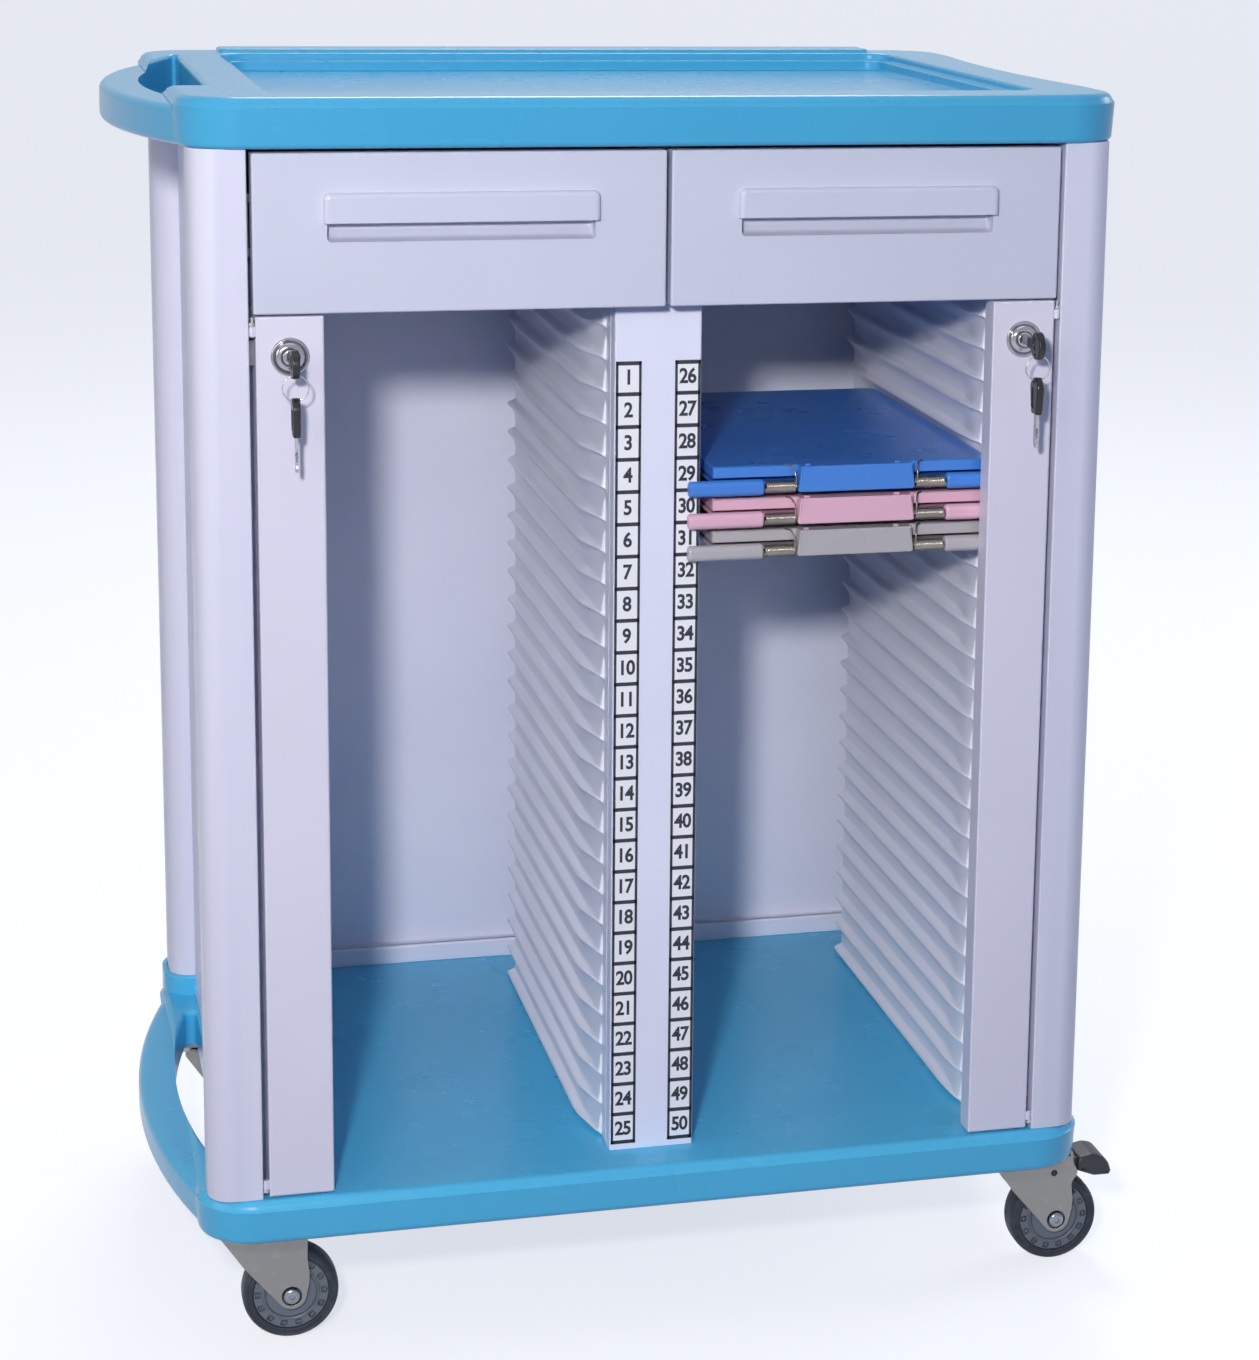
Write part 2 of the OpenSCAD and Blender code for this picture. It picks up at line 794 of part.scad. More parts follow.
place() binder(slot_tip(6), "#aca7aa");  // binder_grey
place() binder_springs();
place() drawer_front(-1);  // drawer_front_left
place() drawer_box(-1);  // drawer_box_left
place() drawer_runners(-1);  // drawer_runners_left
place() drawer_front(1);  // drawer_front_right
place() drawer_box(1);  // drawer_box_right
place() drawer_runners(1);  // drawer_runners_right
place() bar(-1);  // bar_left
place() lock_body(-1);  // lock_body_left
place() lock_plug(-1);  // lock_plug_left
place() key(-1);  // key_left
place() key_ring(-1);  // key_ring_left
place() bar(1);  // bar_right
place() lock_body(1);  // lock_body_right
place() lock_plug(1);  // lock_plug_right
place() key(1);  // key_right
place() key_ring(1);  // key_ring_right
place() fork(-1, stem_front);  // fork_front_left
place() tyre(-1, stem_front);  // tyre_front_left
place() hub(-1, stem_front);  // hub_front_left
place() fork(1, stem_front);  // fork_front_right
place() tyre(1, stem_front);  // tyre_front_right
place() hub(1, stem_front);  // hub_front_right
place() pedal(1, stem_front);  // pedal_front_right
place() fork(-1, stem_back);  // fork_rear_left
place() tyre(-1, stem_back);  // tyre_rear_left
place() hub(-1, stem_back);  // hub_rear_left
place() pedal(-1, stem_back);  // pedal_rear_left
place() fork(1, stem_back);  // fork_rear_right
place() tyre(1, stem_back);  // tyre_rear_right
place() hub(1, stem_back);  // hub_rear_right
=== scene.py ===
"""Looks of the patient record trolley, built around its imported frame.

Metres, +Z up, front at -Y. A piece is drawn as a bmesh in local axes, turned and moved to its
place, and rides on a body of the frame.
"""
from math import atan2, cos, pi, radians, sin, sqrt, tan

import bmesh
import bpy
from mathutils import Matrix, Vector


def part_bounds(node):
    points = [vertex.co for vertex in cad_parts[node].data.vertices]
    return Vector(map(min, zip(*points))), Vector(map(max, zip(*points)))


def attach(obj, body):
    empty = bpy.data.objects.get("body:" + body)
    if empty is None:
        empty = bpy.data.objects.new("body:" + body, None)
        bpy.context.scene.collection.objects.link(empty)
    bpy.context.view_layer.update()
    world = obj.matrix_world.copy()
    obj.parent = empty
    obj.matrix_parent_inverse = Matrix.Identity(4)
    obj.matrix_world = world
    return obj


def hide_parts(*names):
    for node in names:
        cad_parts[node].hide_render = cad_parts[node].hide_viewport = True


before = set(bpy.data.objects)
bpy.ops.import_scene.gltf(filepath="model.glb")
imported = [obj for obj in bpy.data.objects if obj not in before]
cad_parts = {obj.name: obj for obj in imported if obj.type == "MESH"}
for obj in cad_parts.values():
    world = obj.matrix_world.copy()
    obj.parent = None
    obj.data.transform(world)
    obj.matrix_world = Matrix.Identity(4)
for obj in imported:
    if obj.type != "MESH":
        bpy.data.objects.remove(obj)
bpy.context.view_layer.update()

# ---- the frame's own planes, which every piece is placed by ----

FRONT_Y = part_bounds("column_front_left")[0].y        # front plane of the columns
BACK_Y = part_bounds("column_rear_left")[1].y
SIDE_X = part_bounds("column_front_right")[1].x        # outer faces of the columns
INNER_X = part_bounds("column_front_right")[0].x
BASE_LOW, BASE_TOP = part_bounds("base_shelf")[0].z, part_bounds("base_shelf")[1].z
TOP_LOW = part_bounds("worktop")[0].z
RIM_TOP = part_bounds("worktop")[1].z                  # top of the worktop's rear rim
DECK_TOP = RIM_TOP - 0.003
MID_Y = (FRONT_Y + BACK_Y) / 2
SIDES = {"left": -1, "right": 1}

# Local axes of pieces drawn flat: (x, y, z) goes to these world axes.
UPRIGHT = Matrix(((1, 0, 0), (0, 0, -1), (0, 1, 0))).to_4x4()   # x right, y up, z to the front
SIDEWAYS = Matrix(((0, 0, 1), (1, 0, 0), (0, 1, 0))).to_4x4()   # x back, y up, z right


# ---- outlines ----

def arc(cx, cy, r, start, end, steps=8):
    """Points on an arc; the angles are in degrees."""
    turn = [radians(start + (end - start) * i / steps) for i in range(steps + 1)]
    return [(cx + r * cos(a), cy + r * sin(a)) for a in turn]


def rect(x0, x1, y0, y1):
    return [(x0, y0), (x1, y0), (x1, y1), (x0, y1)]


def circle(cx, cy, r, steps=48):
    return arc(cx, cy, r, 0, 360 * (steps - 1) / steps, steps - 1)


def fillet(points, radius, steps=5):
    """Rounds the corners of an outline. radius is one number, or one for each point."""
    made = []
    for i, point in enumerate(points):
        r = radius[i] if isinstance(radius, (list, tuple)) else radius
        p = Vector(point)
        back, ahead = Vector(points[i - 1]) - p, Vector(points[(i + 1) % len(points)]) - p
        half = back.angle(ahead) / 2
        if r <= 0 or half > 1.54:
            made.append(tuple(p))
            continue
        reach = min(r / tan(half), 0.48 * back.length, 0.48 * ahead.length)
        r = reach * tan(half)
        centre = p + (back.normalized() + ahead.normalized()).normalized() * r / sin(half)
        a = p + back.normalized() * reach - centre
        b = p + ahead.normalized() * reach - centre
        first = atan2(a.y, a.x)
        sweep = (atan2(b.y, b.x) - first + pi) % (2 * pi) - pi
        made += [(centre.x + r * cos(first + sweep * k / steps),
                  centre.y + r * sin(first + sweep * k / steps)) for k in range(steps + 1)]
    return made


def rounded(x0, x1, y0, y1, radius, steps=5):
    """A rectangle with rounded corners."""
    return fillet(rect(x0, x1, y0, y1), radius, steps)


def mirrored(points, side):
    """The outline drawn for the right side (+X), or its mirror image for the left."""
    return list(points) if side > 0 else [(-x, y) for x, y in reversed(points)]


def inset(points, d):
    """The outline (anticlockwise) drawn in by d."""
    made = []
    count = len(points)
    for i, point in enumerate(points):
        p = Vector(point)
        u = (p - Vector(points[i - 1])).normalized()
        v = (Vector(points[(i + 1) % count]) - p).normalized()
        n, m = Vector((-u.y, u.x)), Vector((-v.y, v.x))
        made.append(tuple(p + (n + m) * d / max(0.3, 1 + n.dot(m))))
    return made


def rounding(r, steps=4):
    """Steps of a quarter round from the wall to the face: (drawn in, below the face)."""
    turn = [pi / 2 * k / steps for k in range(steps + 1)]
    return [(r * (1 - cos(a)), r * (1 - sin(a))) for a in turn]


# ---- meshes ----

def ring(bm, points, z):
    return [bm.verts.new((x, y, z)) for x, y in points]


def skin(bm, rings, closed=True):
    """Quads between rings of equal length."""
    for a, b in zip(rings, rings[1:]):
        count = len(a)
        for i in range(count if closed else count - 1):
            j = (i + 1) % count
            bm.faces.new((a[i], a[j], b[j], b[i]))


def stack(bm, rows):
    """Skins outlines given with their heights, and returns the rings."""
    made = [ring(bm, points, z) for points, z in rows]
    skin(bm, made)
    return made


def cap(bm, rings):
    """Fills the flat area between closed rings."""
    edges = []
    for r in rings:
        for i, v in enumerate(r):
            w = r[(i + 1) % len(r)]
            edges.append(bm.edges.get((v, w)) or bm.edges.new((v, w)))
    bmesh.ops.triangle_fill(bm, use_beauty=True, use_dissolve=False, edges=edges)


def slab(bm, outer, z0, z1, top=0.001, low=0.001, holes=(), steps=4):
    """A plate from z0 to z1 with rounded rims. A hole is (outline, rim radius, depth or None for a
    through hole); a negative depth is a pocket from below."""
    wall = stack(bm, [(inset(outer, d), z0 + h) for d, h in reversed(rounding(low, steps))]
                 + [(inset(outer, d), z1 - h) for d, h in rounding(top, steps)])
    lids, floors = [wall[-1]], [wall[0]]
    for outline, r, depth in holes:
        through = depth is None
        rims = list(reversed(rounding(r, steps)))
        if through or depth > 0:
            rows = [(inset(outline, -d), z1 - h) for d, h in rims]
        else:
            rows = [(inset(outline, -d), z0 + h) for d, h in rims]
        if through:
            rows += [(inset(outline, -d), z0 + h) for d, h in rounding(r, steps)]
        elif depth > 0:
            foot = rounding(min(r, depth / 3), steps)
            rows += [(inset(outline, d), z1 - depth + h) for d, h in foot]
        else:
            foot = rounding(min(r, -depth / 3), steps)
            rows += [(inset(outline, d), z0 - depth - h) for d, h in foot]
        made = stack(bm, rows)
        (lids if through or depth > 0 else floors).append(made[0])
        if through:
            floors.append(made[-1])
        else:
            cap(bm, [made[-1]])
    cap(bm, lids)
    cap(bm, floors)


def lathe(bm, profile, segments=48, at=(0, 0, 0)):
    """Turns a profile of (radius, height) round the local Z axis; it starts and ends on the axis
    or closes on itself."""
    closed = profile[0][0] > 1e-9
    rows = []
    for r, z in profile:
        if r < 1e-9:
            rows.append([bm.verts.new((at[0], at[1], at[2] + z))])
        else:
            rows.append(ring(bm, [(at[0] + x, at[1] + y) for x, y in circle(0, 0, r, segments)],
                             at[2] + z))
    pairs = list(zip(rows, rows[1:])) + ([(rows[-1], rows[0])] if closed else [])
    for a, b in pairs:
        for i in range(segments):
            j = (i + 1) % segments
            if len(a) == 1:
                bm.faces.new((a[0], b[j], b[i]))
            elif len(b) == 1:
                bm.faces.new((a[i], a[j], b[0]))
            else:
                bm.faces.new((a[i], a[j], b[j], b[i]))


def tube(bm, points, r, segments):
    """A round tube along points, with flat ends."""
    pts = [Vector(p) for p in points]
    rows = []
    up = Vector((0, 0, 1))
    for i, p in enumerate(pts):
        before, after = pts[max(i - 1, 0)], pts[min(i + 1, len(pts) - 1)]
        ahead = (after - before).normalized()
        if abs(ahead.dot(up)) > 0.9:
            up = Vector((0, 1, 0)) if abs(ahead.y) < 0.9 else Vector((1, 0, 0))
        side = ahead.cross(up).normalized()
        up = side.cross(ahead)
        rows.append([bm.verts.new(p + side * r * cos(2 * pi * k / segments)
                                  + up * r * sin(2 * pi * k / segments)) for k in range(segments)])
    skin(bm, rows)
    bm.faces.new(reversed(rows[0]))
    bm.faces.new(rows[-1])


def shaded(obj, sharp):
    """Smooth shading, with sharp edges where faces turn by more than sharp degrees."""
    obj.data.polygons.foreach_set("use_smooth", [True] * len(obj.data.polygons))
    obj.data.set_sharp_from_angle(angle=radians(sharp))
    weighted = obj.modifiers.new("weighted", "WEIGHTED_NORMAL")
    weighted.keep_sharp = True
    return obj


def finished(bm, name, material, axes=None, at=(0, 0, 0), sharp=38):
    """Makes the object of a mesh drawn in local axes and moved to a point of the trolley."""
    bmesh.ops.recalc_face_normals(bm, faces=bm.faces)
    bm.transform(Matrix.Translation(at) @ (axes or Matrix.Identity(4)))
    mesh = bpy.data.meshes.new(name)
    bm.to_mesh(mesh)
    bm.free()
    mesh.materials.append(paint[material])
    obj = bpy.data.objects.new(name, mesh)
    bpy.context.scene.collection.objects.link(obj)
    return shaded(obj, sharp)


def final_mesh(obj):
    """A new mesh of the object as its modifiers or its text make it."""
    bpy.context.view_layer.update()
    graph = bpy.context.evaluated_depsgraph_get()
    return bpy.data.meshes.new_from_object(obj.evaluated_get(graph))


def united(obj, others, operation="UNION", sharp=38):
    """One closed mesh of obj and the others, which are used up."""
    obj.modifiers.clear()
    for other in others:
        other.modifiers.clear()
        join = obj.modifiers.new("join", "BOOLEAN")
        join.operation, join.solver, join.object = operation, "EXACT", other
    mesh = final_mesh(obj)
    obj.modifiers.clear()
    obj.data = mesh
    for other in others:
        bpy.data.objects.remove(other)
    return shaded(obj, sharp)


def stands_for(obj, body, slot, *nodes):
    """obj rides on a body and stands for CAD nodes, which it hides. slot is not used."""
    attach(obj, body)
    if nodes:
        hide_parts(*nodes)


def place(bm, name, material, body, slot, *nodes, axes=None, at=(0, 0, 0), sharp=38):
    """Finishes a mesh as one piece of the trolley."""
    stands_for(finished(bm, name, material, axes, at, sharp), body, slot, *nodes)


def part_box(bm, x0, x1, y0, y1, z0, z1, r):
    """A rounded block."""
    slab(bm, rounded(x0, x1, y0, y1, r, 3), z0, z1, r, r, steps=3)


# ---- materials ----

def linear(r, g, b):
    """A colour given as it looks on a screen, 0 to 255."""
    def one(v):
        v /= 255
        return v / 12.92 if v <= 0.04045 else ((v + 0.055) / 1.055) ** 2.4
    return (one(r), one(g), one(b), 1)


class Shader:
    """A Principled material whose colour, roughness and bump come from noise in object space."""

    def __init__(self, name):
        self.material = bpy.data.materials.new(name)
        self.material.use_nodes = True
        self.nodes = self.material.node_tree.nodes
        self.links = self.material.node_tree.links
        self.bsdf = self.nodes["Principled BSDF"]
        self.space = self.nodes.new("ShaderNodeTexCoord").outputs["Object"]
        self.height = None

    def stretched(self, x, y, z):
        mapping = self.nodes.new("ShaderNodeMapping")
        mapping.inputs["Scale"].default_value = (x, y, z)
        self.links.new(self.space, mapping.inputs["Vector"])
        return mapping.outputs["Vector"]

    def noise(self, scale, detail=3, space=None, kind="ShaderNodeTexNoise"):
        node = self.nodes.new(kind)
        node.inputs["Scale"].default_value = scale
        if "Detail" in node.inputs:
            node.inputs["Detail"].default_value = detail
        self.links.new(space or self.space, node.inputs["Vector"])
        return node.outputs["Fac"] if "Fac" in node.outputs else node.outputs["Distance"]

    def remap(self, value, low, high, to_low, to_high):
        node = self.nodes.new("ShaderNodeMapRange")
        ends = {"From Min": low, "From Max": high, "To Min": to_low, "To Max": to_high}
        for key, v in ends.items():
            node.inputs[key].default_value = v
        self.links.new(value, node.inputs["Value"])
        return node.outputs["Result"]

    def mix(self, factor, a, b):
        node = self.nodes.new("ShaderNodeMix")
        node.data_type = "RGBA"
        colours = [s for s in node.inputs if s.type == "RGBA"]
        self.links.new(factor, node.inputs["Factor"])
        for socket, value in zip(colours, (a, b)):
            if isinstance(value, tuple):
                socket.default_value = value
            else:
                self.links.new(value, socket)
        return next(s for s in node.outputs if s.type == "RGBA")

    def tint(self, a, b, scale, detail=4, low=0.35, high=0.65, space=None):
        """Base colour that drifts between two close shades."""
        colour = self.mix(self.remap(self.noise(scale, detail, space), low, high, 0, 1), a, b)
        self.links.new(colour, self.bsdf.inputs["Base Color"])
        return colour

    def overlay(self, colour, factor, other):
        """Lays another colour over the base colour where factor is 1."""
        self.links.new(self.mix(factor, colour, other), self.bsdf.inputs["Base Color"])

    def roughness(self, low, high, scale, detail=4, space=None):
        value = self.remap(self.noise(scale, detail, space), 0.3, 0.7, low, high)
        self.links.new(value, self.bsdf.inputs["Roughness"])

    def bump(self, value, strength, distance):
        node = self.nodes.new("ShaderNodeBump")
        node.inputs["Strength"].default_value = strength
        node.inputs["Distance"].default_value = distance
        self.links.new(value, node.inputs["Height"])
        if self.height is not None:
            self.links.new(self.height, node.inputs["Normal"])
        self.height = node.outputs["Normal"]
        self.links.new(self.height, self.bsdf.inputs["Normal"])

    def set(self, **values):
        for key, value in values.items():
            self.bsdf.inputs[key.replace("_", " ")].default_value = value
        return self.material


def plastic(name, shade, rough, grain, grain_depth, wave=14, coat=0.0):
    """Moulded plastic: fine grain, a faint large waviness and a slight drift of shade."""
    s = Shader(name)
    darker = tuple(c * 0.96 for c in shade[:3]) + (1,)
    s.tint(shade, darker, 5)
    s.roughness(rough * 0.95, min(1, rough * 1.08), 14)
    s.bump(s.noise(wave, 1), 0.08, 0.0002)
    s.bump(s.noise(grain, 2), 0.3, grain_depth)
    return s.set(Coat_Weight=coat, Coat_Roughness=0.06, Specular_IOR_Level=0.5)


def deck_plastic(name, shade, paler):
    """Smooth blue moulding with a few fine scuffs along X."""
    s = Shader(name)
    colour = s.tint(shade, paler, 3)
    scuffs = s.noise(1, 2, s.stretched(30, 900, 900))
    s.overlay(colour, s.remap(scuffs, 0.64, 0.76, 0, 0.1), linear(92, 178, 214))
    s.roughness(0.25, 0.29, 12)
    s.bump(s.noise(900, 2), 0.1, 0.000004)
    return s.set(Coat_Weight=0.08, Coat_Roughness=0.05, Specular_IOR_Level=0.3)


def metal(name, shade, low, high, scale):
    """Plated metal with soft spangles and fine drawn lines."""
    s = Shader(name)
    cells = s.noise(scale, kind="ShaderNodeTexVoronoi")
    darker = tuple(c * 0.82 for c in shade[:3]) + (1,)
    colour = s.mix(s.remap(cells, 0.1, 0.8, 0, 1), shade, darker)
    s.links.new(colour, s.bsdf.inputs["Base Color"])
    s.roughness(low, high, scale * 0.7)
    s.bump(s.noise(1, 3, s.stretched(900, 120, 900)), 0.25, 0.00003)
    return s.set(Metallic=0.92)


def rubber():
    """Tyre rubber with mould grain and pale dust on the tread."""
    s = Shader("tyre_rubber")
    colour = s.tint(linear(40, 45, 54), linear(50, 56, 66), 35)
    dust = s.remap(s.noise(120, 6), 0.52, 0.72, 0, 0.4)
    s.overlay(colour, dust, linear(78, 84, 94))
    s.roughness(0.48, 0.68, 90)
    s.bump(s.noise(650, 3), 0.6, 0.0001)
    return s.set(Specular_IOR_Level=0.35)


# Colours as they look on a screen. Plastics: name, colour, roughness, grain, its depth, wave, coat.
PLASTICS = {
    "moulding": ("chart_abs", (240, 241, 251), 0.32, 900, 0.00002, 14, 0.2),
    "drawer": ("drawer_abs", (206, 209, 226), 0.33, 900, 0.00002, 14, 0.1),
    "box": ("drawer_box_pp", (196, 198, 212), 0.5, 500, 0.00005),
    "bar": ("bar_white", (224, 222, 238), 0.34, 900, 0.00002, 14, 0.1),
    "hub": ("hub_nylon", (104, 112, 122), 0.42, 500, 0.00004),
    # A darker copy of the hub nylon for its pockets: painted shade in the recesses.
    "hub_painted_shade": ("hub_pocket", (58, 62, 74), 0.5, 500, 0.00004),
    "black": ("black_nylon", (38, 41, 50), 0.38, 420, 0.00006),
    "key_black": ("key_plastic", (20, 22, 30), 0.28, 800, 0.00002),
    "race": ("race_black", (28, 30, 36), 0.45, 300, 0.00006),
    "paper": ("label_paper", (246, 246, 250), 0.6, 1500, 0.00002),
    "binder_blue": ("binder_pp_blue", (66, 134, 222), 0.28, 900, 0.000002, 8, 0.1),
    "binder_pink": ("binder_pp_pink", (234, 184, 204), 0.28, 900, 0.000002, 8, 0.1),
    "binder_grey": ("binder_pp_grey", (184, 180, 184), 0.28, 900, 0.000002, 8, 0.1),
}
# Metals: name, colour, lowest and highest roughness, scale of the spangles.
METALS = {
    "zinc": ("zinc_plate", (150, 150, 150), 0.32, 0.46, 90),
    "slide": ("slide_zinc", (168, 170, 172), 0.3, 0.4, 60),
    "steel": ("bright_steel", (196, 196, 202), 0.2, 0.33, 160),
    "chrome": ("chrome", (180, 180, 190), 0.07, 0.16, 120),
    "axle": ("axle_zinc", (150, 156, 168), 0.2, 0.34, 400),
}


def make_materials():
    """Every finish by the key that the pieces ask for."""
    made = {key: plastic(name, linear(*colour), *rest)
            for key, (name, colour, *rest) in PLASTICS.items()}
    made |= {key: metal(name, linear(*colour), *rest)
             for key, (name, colour, *rest) in METALS.items()}
    made["deck"] = deck_plastic("worktop_abs", linear(66, 168, 212), linear(70, 171, 214))
    # The base takes a lighter copy of the worktop's blue: painted light, to make the floor of its
    # cells read brighter.
    made["base"] = deck_plastic("base_abs_painted_lighter", linear(76, 184, 228), linear(80, 187, 230))
    made["tyre_rubber"] = rubber()

    column = Shader("column_white")
    lines = column.noise(1, 3, column.stretched(420, 420, 2))
    column.tint(linear(224, 224, 240), linear(217, 217, 235), 1, 3, 0.3, 0.7,
                column.stretched(60, 60, 1.5))
    column.roughness(0.3, 0.42, 30)
    column.bump(lines, 0.4, 0.00004)
    made["column"] = column.set(Specular_IOR_Level=0.45)

    panel = Shader("painted_sheet")
    panel.tint(linear(235, 237, 253), linear(230, 232, 250), 7)
    panel.roughness(0.36, 0.5, 40)
    panel.bump(panel.noise(260, 2), 0.35, 0.00006)
    made["panel"] = panel.set(Specular_IOR_Level=0.45)

    spring = Shader("spring_steel")
    spring.tint(linear(150, 144, 138), linear(132, 126, 120), 40)
    spring.roughness(0.2, 0.3, 60)
    made["spring"] = spring.set(Metallic=0.95)

    ink = Shader("ink")
    ink.tint(linear(24, 26, 40), linear(40, 42, 58), 900)
    ink.roughness(0.5, 0.7, 300)
    made["ink"] = ink.material

    made["pale_floor"] = Shader("pale_floor").set(Roughness=0.8)
    made["backdrop"] = Shader("backdrop").set(Roughness=1.0)
    return made


paint = make_materials()

# ---- decks ----

OVERHANG = 0.008
PLAN_X = SIDE_X + OVERHANG
PLAN_FRONT, PLAN_BACK = FRONT_Y - OVERHANG, BACK_Y + OVERHANG
CORNER_R = 0.045
WAIST_R = 1.5
WAIST_DEEP = 0.01                       # how far the waist comes in from the deck's right side
BOW_MID_Y = FRONT_Y + 0.245
BOW_HALF = 0.228
BOW_BAND = 0.030
BOW_H = 0.028


def deck_outline():
    """Plan of a deck: rounded corners and a shallow waist at the right end."""
    half = sqrt(WAIST_R ** 2 - (WAIST_R - WAIST_DEEP) ** 2)
    lean = atan2(half, WAIST_R) * 180 / pi
    r, x, steps = CORNER_R, PLAN_X, 12
    right = [(2 * (x - WAIST_DEEP + WAIST_R) - px, py)
             for px, py in arc(x - WAIST_DEEP + WAIST_R, MID_Y, WAIST_R, -lean, lean, 24)]
    return (arc(x - r, PLAN_FRONT + r, r, -90, 0, steps) + right
            + arc(x - r, PLAN_BACK - r, r, 0, 90, steps)
            + arc(-x + r, PLAN_BACK - r, r, 90, 180, steps)
            + arc(-x + r, PLAN_FRONT + r, r, 180, 270, steps))


class Bow:
    """The push bow of a deck: an arc outside its left end, with a hand hole behind it."""

    def __init__(self, out_x, hole_x, hole_front, hole_back):
        bulge = out_x - SIDE_X
        self.r = (BOW_HALF ** 2 + bulge ** 2) / (2 * bulge)
        self.cx = self.r - out_x
        self.hole_x, self.front, self.back = -hole_x, FRONT_Y + hole_front, FRONT_Y + hole_back

    def x_at(self, y, shrink=0.0):
        return self.cx - sqrt((self.r - shrink) ** 2 - (y - BOW_MID_Y) ** 2)

    def band(self, root_x, steps=40):
        """The area from the deck out to the arc, anticlockwise. It ends inside the corners."""
        reach = BOW_HALF - 0.010
        rows = [BOW_MID_Y + reach * (1 - 2 * i / steps) for i in range(steps + 1)]
        edge = [(self.x_at(y), y) for y in rows]
        return edge + [(root_x, BOW_MID_Y - reach), (root_x, BOW_MID_Y + reach)]

    def hole(self, round_r=0.008, steps=28):
        arc_side = [(self.x_at(self.back + (self.front - self.back) * i / steps, BOW_BAND),
                     self.back + (self.front - self.back) * i / steps) for i in range(steps + 1)]
        corners = arc_side + [(self.hole_x, self.front), (self.hole_x, self.back)]
        radii = [round_r] + [0] * (steps - 1) + [round_r] * 3
        return fillet(corners, radii, 5)


TOP_BOW = Bow(-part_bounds("worktop")[0].x, SIDE_X - 0.022, 0.112, 0.440)
BASE_BOW = Bow(-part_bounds("base_shelf")[0].x, SIDE_X - 0.019, 0.100, 0.400)
ROOT_X = -(SIDE_X - 0.047)


DRAFT = 0.0015                          # how far the deck's edge leans in below its top round
POCKET_X, POCKET_IN, WEB = SIDE_X - 0.027, 0.010, 0.004       # the hollow under a deck
TRAY_DEEP = 0.0145
LEDGE_W, LEDGE_DEEP = 0.008, 0.006      # the step round the tray


def cut_by(obj, bow, z0, z1, rim):
    """Cuts the hand hole through a solid, with a rounded rim on both faces."""
    outline = bow.hole()
    flare = 0.002
    rows = [(inset(outline, -rim - flare), z1 + flare)]
    rows += [(inset(outline, -d), z1 - h) for d, h in reversed(rounding(rim, 5))]
    rows += [(inset(outline, -d), z0 + h) for d, h in rounding(rim, 5)]
    rows += [(inset(outline, -rim - flare), z0 - flare)]
    bm = bmesh.new()
    made = stack(bm, rows)
    cap(bm, [made[0]])
    cap(bm, [made[-1]])
    return united(obj, [finished(bm, "cutter", "deck")], "DIFFERENCE")


def deck_wall(bm, z0, z1, low, top):
    """The outer wall of a deck with its rounded edges; returns its lowest and its highest ring."""
    outline = deck_outline()
    rows = [(inset(outline, DRAFT + d), z0 + h) for d, h in reversed(rounding(low, 4))]
    rows += [(inset(outline, DRAFT + (d - DRAFT if k == 0 else d)), z1 - h)
             for k, (d, h) in enumerate(rounding(top, 6))]
    made = stack(bm, rows)
    return made[0], made[-1]


def make_worktop():
    """Worktop with a sunken tray, a low rear rim and the push bow."""
    bm = bmesh.new()
    foot, lid = deck_wall(bm, TOP_LOW, DECK_TOP, 0.004, 0.0075)
    rim_r, foot_r = 0.0025, 0.0025
    x0, x1, y0, y1 = -0.288, 0.298, FRONT_Y + 0.042, FRONT_Y + 0.458
    edge = rounded(x0, x1, y0, y1, 0.02, 8)
    inner = rounded(x0 + LEDGE_W, x1 - LEDGE_W, y0 + LEDGE_W, y1 - LEDGE_W, 0.014, 8)
    ledge, floor = DECK_TOP - LEDGE_DEEP, DECK_TOP - TRAY_DEEP
    tray = stack(bm, [(inset(edge, -d), DECK_TOP - h) for d, h in reversed(rounding(rim_r))]
                 + [(inset(edge, d), ledge + h) for d, h in rounding(foot_r / 2)]
                 + [(inset(inner, -d), ledge - h) for d, h in reversed(rounding(rim_r / 2))]
                 + [(inset(inner, d), floor + h) for d, h in rounding(foot_r)])
    cap(bm, [lid, tray[0]])
    cap(bm, [tray[-1]])
    pocket = rounded(-POCKET_X, POCKET_X, FRONT_Y + POCKET_IN, BACK_Y - POCKET_IN, 0.01)
    roof = floor - WEB
    well = stack(bm, [(inset(pocket, d), z) for d, z in
                      ((0, TOP_LOW), (0, roof - 0.002), (0.002, roof))])
    cap(bm, [well[-1]])
    cap(bm, [foot, well[0]])
    deck = finished(bm, "worktop_shell", "deck")

    bm = bmesh.new()
    slab(bm, TOP_BOW.band(ROOT_X), TOP_LOW, TOP_LOW + BOW_H, 0.006, 0.005, steps=5)
    bow = finished(bm, "bow", "deck")
    bm = bmesh.new()
    rim_x, rim_y = SIDE_X - 0.060, FRONT_Y + 0.465
    slab(bm, rounded(-rim_x, rim_x, rim_y, PLAN_BACK - 0.004, 0.006), DECK_TOP - 0.01, RIM_TOP,
         0.0025, 0.001)
    rim = finished(bm, "rim", "deck")
    deck = cut_by(united(deck, [bow, rim]), TOP_BOW, TOP_LOW, DECK_TOP, 0.004)
    stands_for(deck, "root", "deck_blue", "worktop")


